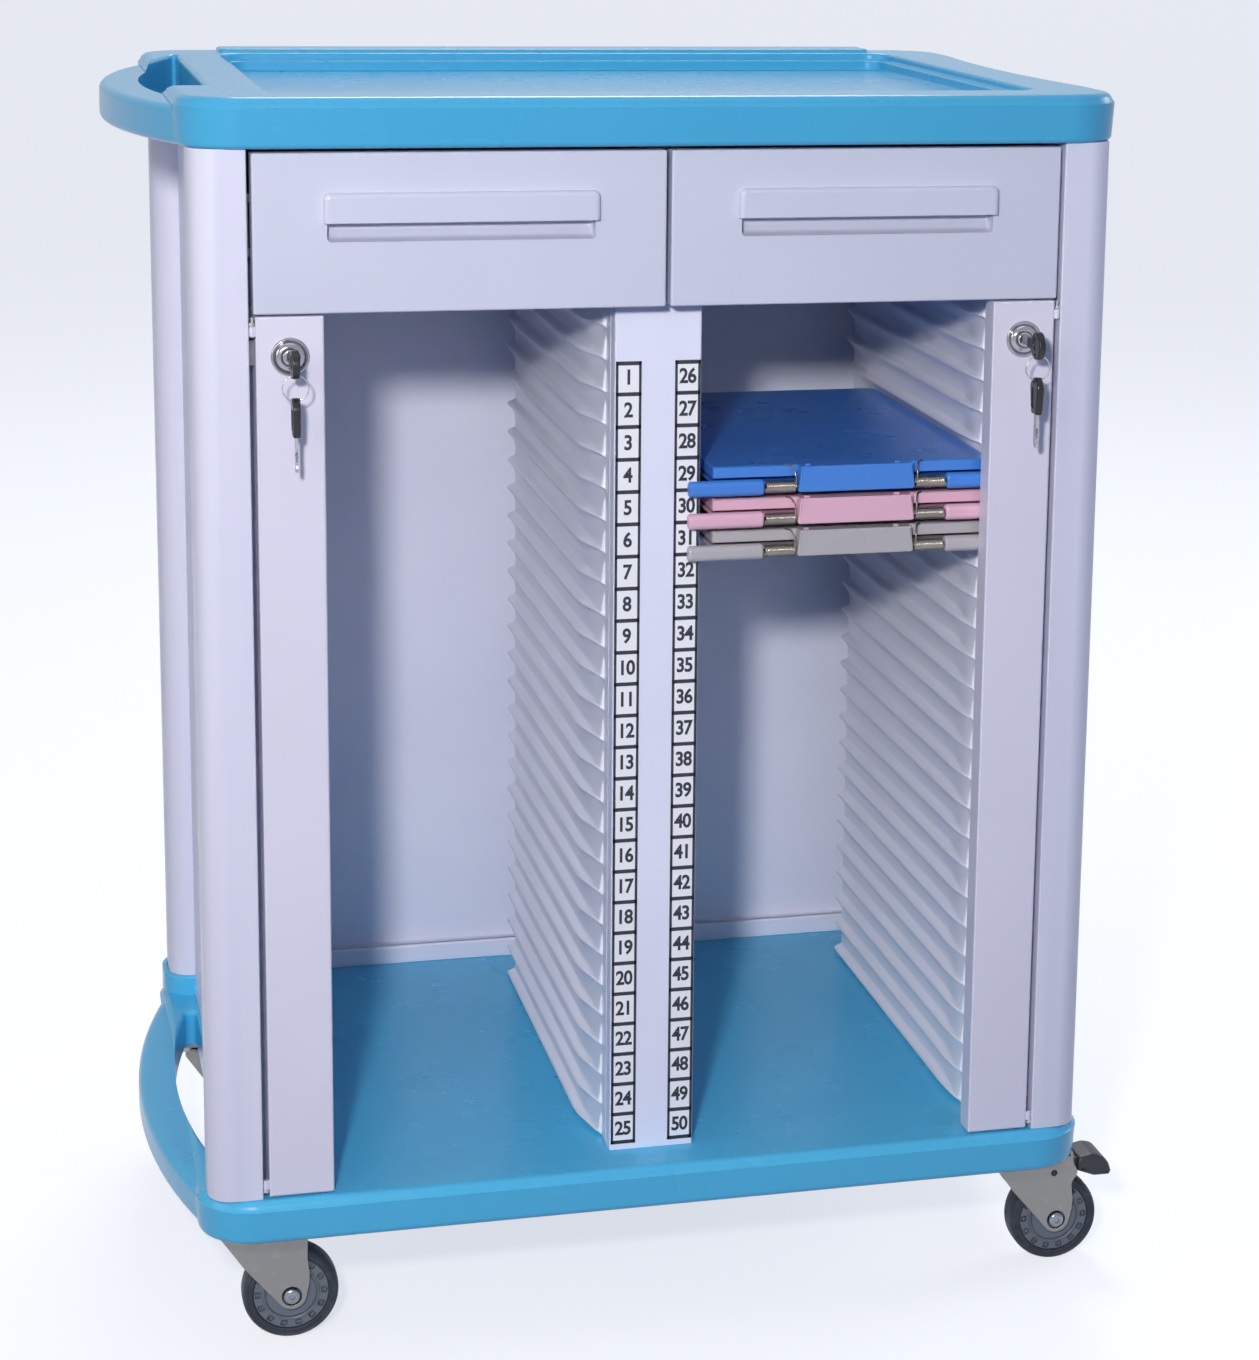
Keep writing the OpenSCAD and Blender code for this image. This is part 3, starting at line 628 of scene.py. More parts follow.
def make_base():
    """Base moulding with its bow, the collars of the rear columns and the pocket underneath."""
    bm = bmesh.new()
    foot, lid = deck_wall(bm, BASE_LOW, BASE_TOP, 0.005, 0.007)
    cap(bm, [lid])
    block = 0.105                           # solid corners over the caster plates
    x, y0, y1 = POCKET_X, FRONT_Y + POCKET_IN, BACK_Y - POCKET_IN
    in_x, f, b = x - block + 0.03, y0 + block, y1 - block
    cross = [(-in_x, y0), (in_x, y0), (in_x, f), (x, f), (x, b), (in_x, b), (in_x, y1),
             (-in_x, y1), (-in_x, b), (-x, b), (-x, f), (-in_x, f)]
    cross = fillet(cross, 0.008)
    well = stack(bm, [(inset(cross, d), z) for d, z in
                      ((0, BASE_LOW), (0.001, BASE_TOP - WEB - 0.003), (0.004, BASE_TOP - WEB))])
    cap(bm, [well[-1]])
    cap(bm, [foot, well[0]])
    # Its material is the lighter copy of the worktop blue, painted light on the floor of the cells.
    base = finished(bm, "base_moulding", "base")

    bm = bmesh.new()
    bow_z = BASE_LOW + 0.002
    slab(bm, BASE_BOW.band(ROOT_X), bow_z, bow_z + BOW_H, 0.008, 0.006, steps=6)
    extras = [finished(bm, "bow", "base")]
    collar_h, collar_t = 0.017, 0.0045
    for side in SIDES.values():
        bm = bmesh.new()
        column = column_outline(side, True)
        slab(bm, inset(column, -collar_t), BASE_TOP - 0.01, BASE_TOP + collar_h, 0.0022, 0.001,
             [(inset(column, -0.0002), 0.0003, collar_h - 0.001)], steps=3)
        extras.append(finished(bm, "collar", "base"))
    base = cut_by(united(base, extras), BASE_BOW, BASE_LOW, BASE_TOP, 0.0045)
    stands_for(base, "root", "deck_blue", "base_shelf")


# ---- carcass ----

COLUMN_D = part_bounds("column_front_left")[1].y - FRONT_Y


def column_outline(side, rear):
    """Section of a column: a large round at the cart's corner, a smaller one along its side."""
    x0, x1 = INNER_X, SIDE_X
    y0, y1 = (BACK_Y - COLUMN_D, BACK_Y) if rear else (FRONT_Y, FRONT_Y + COLUMN_D)
    big, small, crisp = 0.034, 0.02, 0.0012
    radii = [crisp, small if rear else big, big if rear else small, crisp]
    return mirrored(rounded(x0, x1, y0, y1, radii, 10), side)


def make_columns():
    z0, z1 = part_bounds("column_front_left")[0].z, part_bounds("column_front_left")[1].z
    for end in ("front", "rear"):
        for name, side in SIDES.items():
            bm = bmesh.new()
            slab(bm, column_outline(side, end == "rear"), z0, z1, 0.0006, 0.0006)
            node = f"column_{end}_{name}"
            place(bm, node + "_extrusion", "column", "root", "column_white", node)


def sheet_piece(node, material, slot, r=0.0012):
    """A flat sheet of the node's own size, with rounded edges."""
    lo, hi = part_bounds(node)
    bm = bmesh.new()
    part_box(bm, lo.x, hi.x, lo.y, hi.y, lo.z, hi.z, r)
    place(bm, node + "_sheet", material, "root", slot, node)


def make_walls():
    for node in ("side_panel_left", "side_panel_right", "back_panel"):
        sheet_piece(node, "panel", "panel_white")
    lo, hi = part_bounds("back_sill")
    bm = bmesh.new()
    for side in SIDES.values():
        x = sorted((side * 0.015, side * hi.x))
        slab(bm, rounded(x[0], x[1], lo.y, hi.y, 0.001), lo.z, hi.z, 0.003, 0.001)
    place(bm, "back_sill_strips", "panel", "root", "panel_white", "back_sill")


def make_post():
    """Centre post: a channel with soft front edges, open towards the back."""
    lo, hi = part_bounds("centre_post")
    wall, soft, crisp = 0.002, 0.0016, 0.0005
    points = [(lo.x, lo.y), (hi.x, lo.y), (hi.x, hi.y), (hi.x - wall, hi.y),
              (hi.x - wall, lo.y + wall), (lo.x + wall, lo.y + wall), (lo.x + wall, hi.y),
              (lo.x, hi.y)]
    bm = bmesh.new()
    slab(bm, fillet(points, [soft] * 2 + [crisp] * 6, 4), lo.z, hi.z, 0.0004, 0.0004)
    place(bm, "centre_post_channel", "panel", "root", "panel_white", "centre_post")


# ---- slot labels with their numbers ----

SLOTS = 25
SLOT_PITCH = 0.025
POST_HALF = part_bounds("centre_post")[1].x


def make_labels():
    """Two strips of paper labels, each cell framed in black, numbered 1 to 50."""
    lo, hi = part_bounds("slot_labels")
    face_y = lo.y
    width = 0.0197
    side_line, row_line = 0.0020, 0.0030
    bm, grid = bmesh.new(), bmesh.new()
    for side in SIDES.values():
        x0, x1 = sorted((side * (hi.x - width), side * hi.x))
        part_box(bm, x0, x1, face_y + 0.0001, hi.y, lo.z, hi.z, 0.0002)
        for x in (x0, x1 - side_line):
            part_box(grid, x, x + side_line, face_y, hi.y, lo.z, hi.z, 0.00008)
        for i in range(SLOTS + 1):
            z = min(max(lo.z + i * SLOT_PITCH - row_line / 2, lo.z), hi.z - row_line)
            part_box(grid, x0, x1, face_y, hi.y, z, z + row_line, 0.00008)
    place(bm, "label_strips", "paper", "root", "label", "slot_labels")
    place(grid, "label_frames", "ink", "root", "label")
    bm = bmesh.new()
    narrow = Matrix.Diagonal((0.88, 1, 1, 1))
    for n in range(2 * SLOTS):
        curve = bpy.data.curves.new("number", "FONT")
        curve.body = str(n + 1)
        curve.size, curve.space_character = 0.0158, 0.92
        curve.align_x, curve.align_y = "CENTER", "CENTER"
        curve.extrude, curve.offset = 0.00005, 0.00042
        curve.resolution_u = 4
        text = bpy.data.objects.new("number", curve)
        bpy.context.scene.collection.objects.link(text)
        x = (-1 if n < SLOTS else 1) * (hi.x - width / 2)
        z = lo.z + (SLOTS - n % SLOTS - 0.5) * SLOT_PITCH
        mesh = final_mesh(text)
        mesh.transform(Matrix.Translation((x, face_y, z)) @ UPRIGHT @ narrow)
        bm.from_mesh(mesh)
        bpy.data.meshes.remove(mesh)
        bpy.data.objects.remove(text)
    place(bm, "label_numbers", "ink", "root", "label")


# ---- chart mouldings ----

TIP_Z = BASE_TOP + 0.00365
TIPS = SLOTS + 2
RUN_OUT = 0.007
LEAD_IN, LEAD = 0.012, 0.055            # flat margin, then the ribs' noses
FLARE = 0.0062
# One rib, from the valley above it down to the valley below: height over the tip, share of the
# depth along the wall, and share at the wall's front end, where it is a louvre behind its lip.
RIB = [(0.0125, 0.00, 0.39), (0.0060, 0.00, 0.66), (0.0046, 0.05, 0.72), (0.0038, 0.22, 0.75),
       (0.0031, 0.50, 0.76), (0.0025, 0.74, 0.78), (0.0019, 0.88, 0.80), (0.0012, 0.96, 0.83),
       (0.0004, 1.00, 1.05), (-0.0004, 1.00, 1.05), (-0.0012, 0.92, 0.74), (-0.0022, 0.80, 0.28),
       (-0.0036, 0.60, 0.02), (-0.0056, 0.36, 0.09), (-0.0080, 0.16, 0.19), (-0.0105, 0.03, 0.30)]


def chart_moulding(name, side, inner, *nodes):
    """A ribbed wall: a closed skin whose face rises in each rib. The noses are round in plan."""
    lo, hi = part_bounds(nodes[0])
    sheet_t, nose, margin = 0.0025, 0.3, 0.003
    front = FRONT_Y + 0.05 + (0.0005 if inner else 0)
    rear = hi.y
    face = side * (0.040 if inner else 0.268)
    out = side if inner else -side                       # the way the ribs stand out
    start = front + LEAD_IN
    rows = [(front, 0, 0), (start - 0.0005, 0, 0)]       # (y, size of the ribs, louvre to rib)
    for k in range(15):
        s = (k / 14) ** 1.5
        rows.append((start + LEAD * s, nose + (1 - nose) * sqrt(1 - (1 - s) ** 2),
                     0.5 - 0.5 * cos(pi * s)))
    rows += [(start + LEAD + 0.004, 1, 1), ((start + rear) / 2, 1, 1), (rear, 1, 1)]
    levels = []
    for k in reversed(range(TIPS)):
        tip = TIP_Z + k * SLOT_PITCH
        levels += [(tip + rise, rib, louvre) for rise, rib, louvre in RIB
                   if lo.z < tip + rise < hi.z]
    levels = [(hi.z, 0, 0)] + levels + [(lo.z, *levels[-1][1:])]
    bm = bmesh.new()
    faces, backs = [], []
    for y, size, grow in rows:
        depths = [RUN_OUT * size * (grow * rib + (1 - grow) * louvre) for _, rib, louvre in levels]
        flare = FLARE * (1 - grow) if inner else 0.0       # the wall comes in to the post in front
        faces.append([bm.verts.new((face + out * (depth - flare), y, level[0]))
                      for depth, level in zip(depths, levels)])
        behind = face - out * (sheet_t + flare)
        backs.append([bm.verts.new((behind, y, level[0])) for level in levels])
    if inner:                                            # the flat margin beside the post
        near, y = side * (POST_HALF + 0.0002), front - margin
        faces.insert(0, [bm.verts.new((near, y, level[0])) for level in levels])
        backs.insert(0, [bm.verts.new((near - out * sheet_t, y, level[0])) for level in levels])
    skin(bm, faces, False)
    skin(bm, backs, False)
    for a, b in ((faces[0], backs[0]), (faces[-1], backs[-1])):
        skin(bm, [a, b], False)
    for end in (0, -1):
        for i in range(len(faces) - 1):
            bm.faces.new((faces[i][end], faces[i + 1][end], backs[i + 1][end], backs[i][end]))
    place(bm, name, "moulding", "root", "chart_moulding", *nodes, sharp=42)


def make_chart_walls():
    for name, side in SIDES.items():
        chart_moulding(f"chart_moulding_{name}_inner", side, True, f"chart_panel_{name}_inner")
        chart_moulding(f"chart_moulding_{name}_outer", side, False, f"chart_panel_{name}_outer",
                       f"chart_runners_{name}")


# ---- drawers ----

DRAWER_Z, DRAWER_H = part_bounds("drawer_front_left")[0].z, 0.1155
FRONT_GAP, FRONT_OUT = 0.0018, INNER_X - 0.0033
FRONT_T, HOOD_OUT = 0.018, 0.006
GRIP_HALF = 0.1005
LIP_Z = DRAWER_Z + 0.0655                         # lower lip of the grip's hood


def extruded(name, outline, x0, x1, rim, material):
    """A solid whose section (Y from the front plane, Z) runs along X, with rounded ends."""
    bm = bmesh.new()
    slab(bm, outline, x0, x1, rim, rim)
    return finished(bm, name, material, SIDEWAYS, (0, FRONT_Y, 0))


def make_drawer_front(name, side):
    """Front with a raised hood and a finger recess that runs up behind the hood's lip."""
    x0, x1 = sorted((side * FRONT_GAP, side * FRONT_OUT))
    mid = (x0 + x1) / 2
    bm = bmesh.new()
    plate = rounded(x0, x1, DRAWER_Z, DRAWER_Z + DRAWER_H, 0.0016)
    slab(bm, plate, -FRONT_T, 0, 0.0016, 0.0008)
    front = finished(bm, f"drawer_face_{name}", "drawer", UPRIGHT, (0, FRONT_Y, 0))
    bm = bmesh.new()
    hood = rounded(mid - GRIP_HALF, mid + GRIP_HALF, LIP_Z - 0.006, LIP_Z + 0.0215, 0.005)
    slab(bm, hood, -0.004, HOOD_OUT, 0.0036, 0.0005, steps=6)
    hood = finished(bm, "hood", "drawer", UPRIGHT, (0, FRONT_Y, 0))
    below = rect(-0.012, 0.010, LIP_Z - 0.02, LIP_Z)
    below = extruded("below", below, mid - 0.12, mid + 0.12, 0.001, "drawer")
    hood = united(hood, [below], "DIFFERENCE")
    scoop = [(-0.009, LIP_Z - 0.023), (0, LIP_Z - 0.014), (0.008, LIP_Z - 0.012),
             (0.012, LIP_Z - 0.006), (0.012, LIP_Z + 0.015), (-0.0032, LIP_Z + 0.015),
             (-0.0032, LIP_Z - 0.0002), (-0.009, LIP_Z - 0.0002)]
    scoop = fillet(scoop, [0, 0.004, 0.006, 0.005, 0.0032, 0.0032, 0.0004, 0])
    scoop = extruded("scoop", scoop, mid - GRIP_HALF + 0.003, mid + GRIP_HALF - 0.003, 0.0028,
                     "drawer")
    front = united(front, [hood])
    front = united(front, [scoop], "DIFFERENCE", 30)
    stands_for(front, f"drawer_{name}", "drawer_front_white", f"drawer_front_{name}")


def make_drawer_box(name):
    """Deep moulded tray with soft corners and a rolled rim."""
    lo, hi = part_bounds(f"drawer_box_{name}")
    wall, floor_t = 0.0025, 0.0025
    bm = bmesh.new()
    slab(bm, rounded(lo.x, hi.x, lo.y, hi.y, 0.006), lo.z, hi.z, 0.0011, 0.002,
         [(rounded(lo.x + wall, hi.x - wall, lo.y + wall, hi.y - wall, 0.005), 0.0011,
           hi.z - lo.z - floor_t)])
    place(bm, f"drawer_tray_{name}", "box", f"drawer_{name}", "drawer_box_grey",
          f"drawer_box_{name}")


def dress(node, material, width):
    """Keeps a CAD node's shape, with its edges broken and a finish of its own."""
    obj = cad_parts[node]
    obj.data.materials.clear()
    obj.data.materials.append(paint[material])
    bevel = obj.modifiers.new("edges", "BEVEL")
    bevel.width = width
    bevel.segments = 2
    bevel.limit_method = "ANGLE"
    bevel.angle_limit = radians(40)


def make_drawers():
    for name, side in SIDES.items():
        make_drawer_front(name, side)
        make_drawer_box(name)
        dress(f"drawer_runners_{name}", "slide", 0.001)
    dress("slide_rails", "slide", 0.0006)
    dress("lock_keepers", "slide", 0.0004)
    dress("divider_core", "panel", 0.0006)
    dress("jamb_strips", "panel", 0.0008)


# ---- locking bars ----

LOCK_Z = 0.786
BAR_OUT = INNER_X - 0.0045
BAR_W, BAR_T = 0.049, 0.020
LOCK_X = BAR_OUT - BAR_W / 2
PIVOT_X, PIVOT_Y = INNER_X - 0.0024, FRONT_Y + 0.0016
PIN_R, LUG_R, EAR_R = 0.00125, 0.0022, 0.0019
LUG_H = 0.007
LUGS_Z = (0.149, 0.801)
BARREL_R = 0.0091                                # the lock's barrel, and its hole in the bar


def make_bar(name, side):
    """Channel open to the back, with two hinge lugs and the hole for the lock."""
    lo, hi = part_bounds(f"bar_{name}")
    x0, x1 = sorted((side * (BAR_OUT - BAR_W), side * BAR_OUT))
    wall = 0.002
    bm = bmesh.new()
    slab(bm, rounded(x0, x1, lo.z, hi.z, 0.0012, 4), -BAR_T, 0, 0.0014, 0.0006,
         [(rounded(x0 + wall, x1 - wall, lo.z + wall, hi.z - wall, 0.001, 3), 0.0004,
           wall - BAR_T)])
    bar = finished(bm, f"locking_bar_{name}", "bar", UPRIGHT, (0, FRONT_Y, 0))
    bm = bmesh.new()
    for z in LUGS_Z:
        root_x = BAR_OUT - 0.001
        lug = (arc(PIVOT_X, PIVOT_Y, LUG_R, -90, 90, 8)
               + [(root_x, PIVOT_Y + 0.002), (root_x, PIVOT_Y - 0.001)])
        slab(bm, mirrored(lug, side), z, z + LUG_H, 0.0003, 0.0003, steps=2)
    bar = united(bar, [finished(bm, "lugs", "bar")])
    bm = bmesh.new()
    lathe(bm, [(0, 0.002), (BARREL_R, 0.002), (BARREL_R, -0.006), (0, -0.006)])
    hole = finished(bm, "hole", "bar", UPRIGHT, (side * LOCK_X, FRONT_Y, LOCK_Z))
    bm = bmesh.new()
    bore = PIN_R + 0.00005
    for z in LUGS_Z:
        lathe(bm, [(0, -0.001), (bore, -0.001), (bore, LUG_H + 0.001), (0, LUG_H + 0.001)], 24,
              (side * PIVOT_X, PIVOT_Y, z))
    bar = united(bar, [hole, finished(bm, "bores", "bar")], "DIFFERENCE")
    stands_for(bar, f"bar_{name}", "bar_white", f"bar_{name}")


def make_bar_hinges():
    """Small ears on the columns with the pins that the bars turn on."""
    ear_h, gap, top = 0.0027, 0.0003, 0.815
    bm = bmesh.new()
    for side in SIDES.values():
        low, high = LUGS_Z[0] - gap - ear_h, LUGS_Z[1] + LUG_H + gap
        root_x = INNER_X - 0.0002
        ear = ([(root_x, PIVOT_Y + EAR_R), (PIVOT_X, PIVOT_Y + EAR_R)]
               + arc(PIVOT_X, PIVOT_Y, EAR_R, 100, 260, 8)
               + [(PIVOT_X, PIVOT_Y - 0.001), (root_x, PIVOT_Y - 0.001)])
        for z in (low, high):
            slab(bm, mirrored(ear, side), z, z + ear_h, 0.0003, 0.0003, steps=2)
        at = (side * PIVOT_X, PIVOT_Y, 0)
        lug_top = LUGS_Z[0] + LUG_H
        lathe(bm, [(0, low - 0.0004), (PIN_R * 0.7, low - 0.0004), (PIN_R, low),
                   (PIN_R, lug_top + 0.0006), (PIN_R * 0.6, lug_top + 0.001),
                   (0, lug_top + 0.001)], 24, at)
        lathe(bm, [(0, LUGS_Z[1] - 0.001), (PIN_R, LUGS_Z[1] - 0.0006), (PIN_R, top - 0.001),
                   (EAR_R, top - 0.001), (EAR_R, top - 0.0003), (EAR_R * 0.7, top + 0.0002),
                   (0, top + 0.0003)], 24, at)
    place(bm, "hinge_pins", "steel", "root", "hinge_steel", "bar_hinges")


# ---- locks and keys ----

KEY_Y = -0.034                                   # middle of the key's head, from the front plane
KEY_HEAD_R = 0.0105
KEY_T = 0.0055
KEY_HOLE = 0.0077
RING_R = 0.0093
RING_Z = LOCK_Z - KEY_HOLE - RING_R


def make_lock(name, side):
    """Cylinder lock: rolled bezel, bright dome, barrel, nut, and the plug with its cam."""
    at = (side * LOCK_X, FRONT_Y, LOCK_Z)
    bm = bmesh.new()
    lathe(bm, [(0.0061, -0.0225), (0.0086, -0.0225), (0.009, -0.0221), (0.009, 0), (0.0138, 0),
               (0.014, 0.0005), (0.0139, 0.0012), (0.0134, 0.0019), (0.0128, 0.0022),
               (0.0121, 0.0021), (0.0116, 0.0016), (0.0113, 0.0011), (0.0109, 0.0014),
               (0.0102, 0.0024), (0.0093, 0.0032), (0.0082, 0.0037), (0.0072, 0.00385),
               (0.0065, 0.0037), (0.0061, 0.0032)], 64)
    place(bm, f"lock_bezel_{name}", "chrome", f"bar_{name}", "lock_chrome", f"lock_body_{name}",
          axes=UPRIGHT, at=at, sharp=50)
    bm = bmesh.new()
    nut = [(0.012 * cos(pi / 3 * k), 0.012 * sin(pi / 3 * k)) for k in range(6)]
    slab(bm, nut, -0.005, -0.002, 0.0004, 0.0004, [(circle(0, 0, BARREL_R), 0.0003, None)], steps=2)
    place(bm, f"lock_nut_{name}", "zinc", f"bar_{name}", "lock_chrome", axes=UPRIGHT, at=at)

    bm = bmesh.new()
    back = -0.0256
    lathe(bm, [(0, 0.0046), (0.0046, 0.0046), (0.0054, 0.0043), (0.0059, 0.0036), (0.006, 0.003),
               (0.006, back), (0.0054, back - 0.0006), (0, back - 0.0006)])
    plug = finished(bm, "plug", "chrome", UPRIGHT, at)
    bm = bmesh.new()
    way_w, way_h = 0.0024, 0.008
    part_box(bm, -way_w / 2, way_w / 2, -way_h / 2, way_h / 2, -0.0145, 0.0056, 0.0004)
    way = finished(bm, "way", "chrome", UPRIGHT, at)
    plug = united(plug, [way], "DIFFERENCE")
    plug.name = f"lock_plug_{name}_core"
    stands_for(plug, f"lock_{name}", "lock_chrome", f"lock_plug_{name}")
    bm = bmesh.new()
    cam_r, reach = 0.006, -BAR_W / 2
    cam = arc(0, 0, cam_r, 0, 180, 14) + [(-cam_r, reach), (0.003, reach), (cam_r, -0.018)]
    cam = fillet(cam, [0] * 15 + [0.0015, 0.0015, 0.003], 4)
    slab(bm, mirrored(cam, side), -0.0264, -0.024, 0.0004, 0.0004, steps=2)
    place(bm, f"lock_cam_{name}", "zinc", f"lock_{name}", "lock_chrome", axes=UPRIGHT, at=at)


def blade(bm, start, end, half, middle, teeth, thick=0.002, upright=False):
    """A key blade between start and end, toothed along one edge, with a groove on each face."""
    length = end - start
    edge = []
    for i in range(teeth):
        t = start + length * (0.34 + 0.5 * i / teeth)
        step = length * 0.25 / teeth
        deep = half * (0.25 + 0.4 * ((i * 3) % 4) / 3)
        edge += [(t, -half), (t + step, -half + deep)]
    tip = [(end - 0.12 * length, -half), (end, -0.25 * half), (end, 0.3 * half),
           (end - 0.1 * length, half)]
    points = [(start, -half)] + edge + tip + [(start, half)]
    if upright:
        points = [(middle + b, a) for a, b in points]
    else:
        points = [(a, middle + b) for a, b in points]
    area = sum(a[0] * b[1] - b[0] * a[1] for a, b in zip(points, points[1:] + points[:1]))
    slab(bm, points if area > 0 else points[::-1], -thick / 2, thick / 2, 0.0002, 0.0002, steps=1)


def make_key(name, side):
    """Key in the lock: a plastic disc with thumb dishes and a neck, and a steel blade."""
    at = (side * LOCK_X, FRONT_Y, LOCK_Z)
    head = (arc(KEY_Y, 0, KEY_HEAD_R, 26, 334, 36)
            + [(KEY_Y + 0.0165, -0.0038), (KEY_Y + 0.0185, -0.0038), (KEY_Y + 0.0185, 0.0038),
               (KEY_Y + 0.0165, 0.0038)])
    dish = circle(KEY_Y, 0.0015, 0.0052, 32)
    bm = bmesh.new()
    slab(bm, head, -KEY_T / 2, KEY_T / 2, 0.0011, 0.0011,
         [(circle(KEY_Y, -KEY_HOLE, 0.0020, 20), 0.0005, None), (dish, 0.0005, 0.0008),
          (dish, 0.0005, -0.0008)])
    place(bm, f"key_head_{name}", "key_black", f"lock_{name}", "key_black", f"key_{name}",
          axes=SIDEWAYS, at=at)
    bm = bmesh.new()
    blade(bm, KEY_Y + 0.016, 0.009, 0.0036, 0, 5)
    place(bm, f"key_blade_{name}", "steel", f"lock_{name}", "key_black", axes=SIDEWAYS, at=at)


def make_key_ring(name, side):
    """Split ring of two turns, with the spare key hanging from it edge on."""
    y = KEY_Y - 0.0005
    wire, turns, steps = 0.00045, 2, 36
    bm = bmesh.new()
    coil = [(RING_R * cos(2 * pi * i / steps), RING_R * sin(2 * pi * i / steps),
             0.0005 * (i / (turns * steps) - 0.5) * 2) for i in range(turns * steps + 1)]
    tube(bm, coil, wire, 8)
    ring_at = (side * LOCK_X, FRONT_Y + y, RING_Z)
    place(bm, f"split_ring_{name}", "steel", f"ring_{name}", "key_black", f"key_ring_{name}",
          axes=UPRIGHT, at=ring_at, sharp=60)
    hang = RING_Z - RING_R
    top_r, shoulder, foot = 0.0088, hang - 0.0065, hang - 0.0255
    head = (arc(y, shoulder, top_r, 0, 180, 20)
            + [(y - 0.0074, foot + 0.004), (y - 0.0055, foot), (y + 0.0045, foot),
               (y + 0.0062, foot + 0.004)])
    bm = bmesh.new()
    dish = rounded(y - 0.0048, y + 0.0045, foot + 0.0045, shoulder + 0.0008, 0.002)
    slab(bm, head, -KEY_T / 2, KEY_T / 2, 0.0012, 0.0012,
         [(circle(y, hang, 0.0019, 20), 0.0005, None), (dish, 0.0004, 0.0007),
          (dish, 0.0004, -0.0007)])
    at = (side * LOCK_X, FRONT_Y, 0)
    place(bm, f"spare_key_head_{name}", "key_black", f"ring_{name}", "key_black", axes=SIDEWAYS,
          at=at)
    bm = bmesh.new()
    blade(bm, foot + 0.001, hang - 0.0513, 0.0033, y - 0.0005, 5, upright=True)
    place(bm, f"spare_key_blade_{name}", "steel", f"ring_{name}", "key_black", axes=SIDEWAYS, at=at)


# ---- chart binders ----

CELL_X = 0.154
SPINE_Y = 0.0255
SPRING_IN, SPRING_OUT = 0.047, 0.072


def make_binder(name, row):
    """Binder shut by two springs: covers, a flap between the springs and a tubular spine."""
    tip = TIP_Z + (SLOTS - row) * SLOT_PITCH
    slot = f"binder_{name}"
    x0, x1 = CELL_X - 0.111, CELL_X + 0.111
    y0, y1 = FRONT_Y + 0.031, FRONT_Y + 0.351
    cover = rounded(x0, x1, y0, y1, [0.003, 0.003, 0.006, 0.006])
    sheet_t = 0.002
    hollow = rect(x0 + sheet_t, x1 - sheet_t, y0 + sheet_t, y1 - sheet_t)
    bm = bmesh.new()
    slab(bm, cover, tip + 0.0094, tip + 0.0183, 0.0012, 0.0008, [(hollow, 0.0003, -0.006)])
    slab(bm, cover, tip + 0.0043, tip + 0.0066, 0.0006, 0.0008)
    for side in (-1, 1):
        ledge = sorted((CELL_X + side * 0.049, CELL_X + side * 0.111))
        ledge = rounded(*ledge, y0 - 0.0014, y0 + 0.0005, 0.0006, 3)
        slab(bm, ledge, tip + 0.0097, tip + 0.0180, 0.001, 0.0006, steps=2)
    place(bm, f"binder_covers_{name}", slot, "root", slot, f"binder_{name}")

    bm = bmesh.new()
    half_low, half_top = SPRING_IN - 0.0004, SPRING_IN - 0.0028
    flap = [(-half_low, tip - 0.0012), (half_low, tip - 0.0012), (half_top, tip + 0.0190),
            (-half_top, tip + 0.0190)]
    slab(bm, fillet([(CELL_X + x, z) for x, z in flap], [0.002, 0.002, 0.0008, 0.0008]), -0.0315,
         -0.0195, 0.0012, 0.0004)
    for x in (-half_top + 0.0035, half_top - 0.0135):
        part_box(bm, CELL_X + x, CELL_X + x + 0.0045, tip + 0.0182, tip + 0.0203, -0.0265, -0.0235,
                 0.0008)
    place(bm, f"binder_flap_{name}", slot, "root", slot, axes=UPRIGHT, at=(0, FRONT_Y, 0))

    bm = bmesh.new()
    z0, z1, r = tip - 0.0033, tip + 0.0090, 0.0049
    section = rounded(SPINE_Y - r, SPINE_Y + r, z0, z1, 0.0046, 6)
    for side in (-1, 1):
        a, b = sorted((CELL_X + side * (SPRING_OUT + 0.0006), CELL_X + side * 0.1315))
        slab(bm, section, a, b, 0.0022, 0.0022)
    slab(bm, rounded(SPINE_Y, SPINE_Y + 0.008, tip + 0.0045, tip + 0.0070, 0.0006, 2),
         CELL_X - 0.108, CELL_X + 0.108, 0.0003, 0.0003, steps=1)
    place(bm, f"binder_spine_{name}", slot, "root", slot, axes=SIDEWAYS, at=(0, FRONT_Y, 0))
    return tip


def make_binder_springs(tips):
    """Close-wound springs in the spines, each with a leg that holds the cover down."""
    bm = bmesh.new()
    leg_r, wire_r, r, per_turn = 0.0007, 0.0012, 0.0037, 10
    length = SPRING_OUT - SPRING_IN - 0.001
    count = int(length / (2 * leg_r)) * per_turn
    for tip in tips:
        centre_z = tip + 0.00285
        for side in (-1, 1):
            start = CELL_X + side * (SPRING_IN + 0.0005)
            turn = [2 * pi * i / per_turn for i in range(count + 1)]
            tube(bm, [(start + side * length * i / count, SPINE_Y + FRONT_Y - r * cos(a),
                       centre_z + r * sin(a)) for i, a in enumerate(turn)], wire_r, 8)
            x = start + side * 0.0008
            tube(bm, [(x, SPINE_Y + FRONT_Y - r, centre_z), (x, FRONT_Y + 0.0203, tip + 0.010),
                      (x + side * 0.0006, FRONT_Y + 0.0225, tip + 0.0150),
                      (x + side * 0.0022, FRONT_Y + 0.0265, tip + 0.0182),
                      (x + side * 0.0060, FRONT_Y + 0.0300, tip + 0.0190)], leg_r, 6)
    place(bm, "spring_coils", "spring", "root", "spring_steel", "binder_springs", sharp=70)


def make_binders():
    rows = {"blue": 4, "pink": 5, "grey": 6}
    make_binder_springs([make_binder(name, row) for name, row in rows.items()])


# ---- casters ----

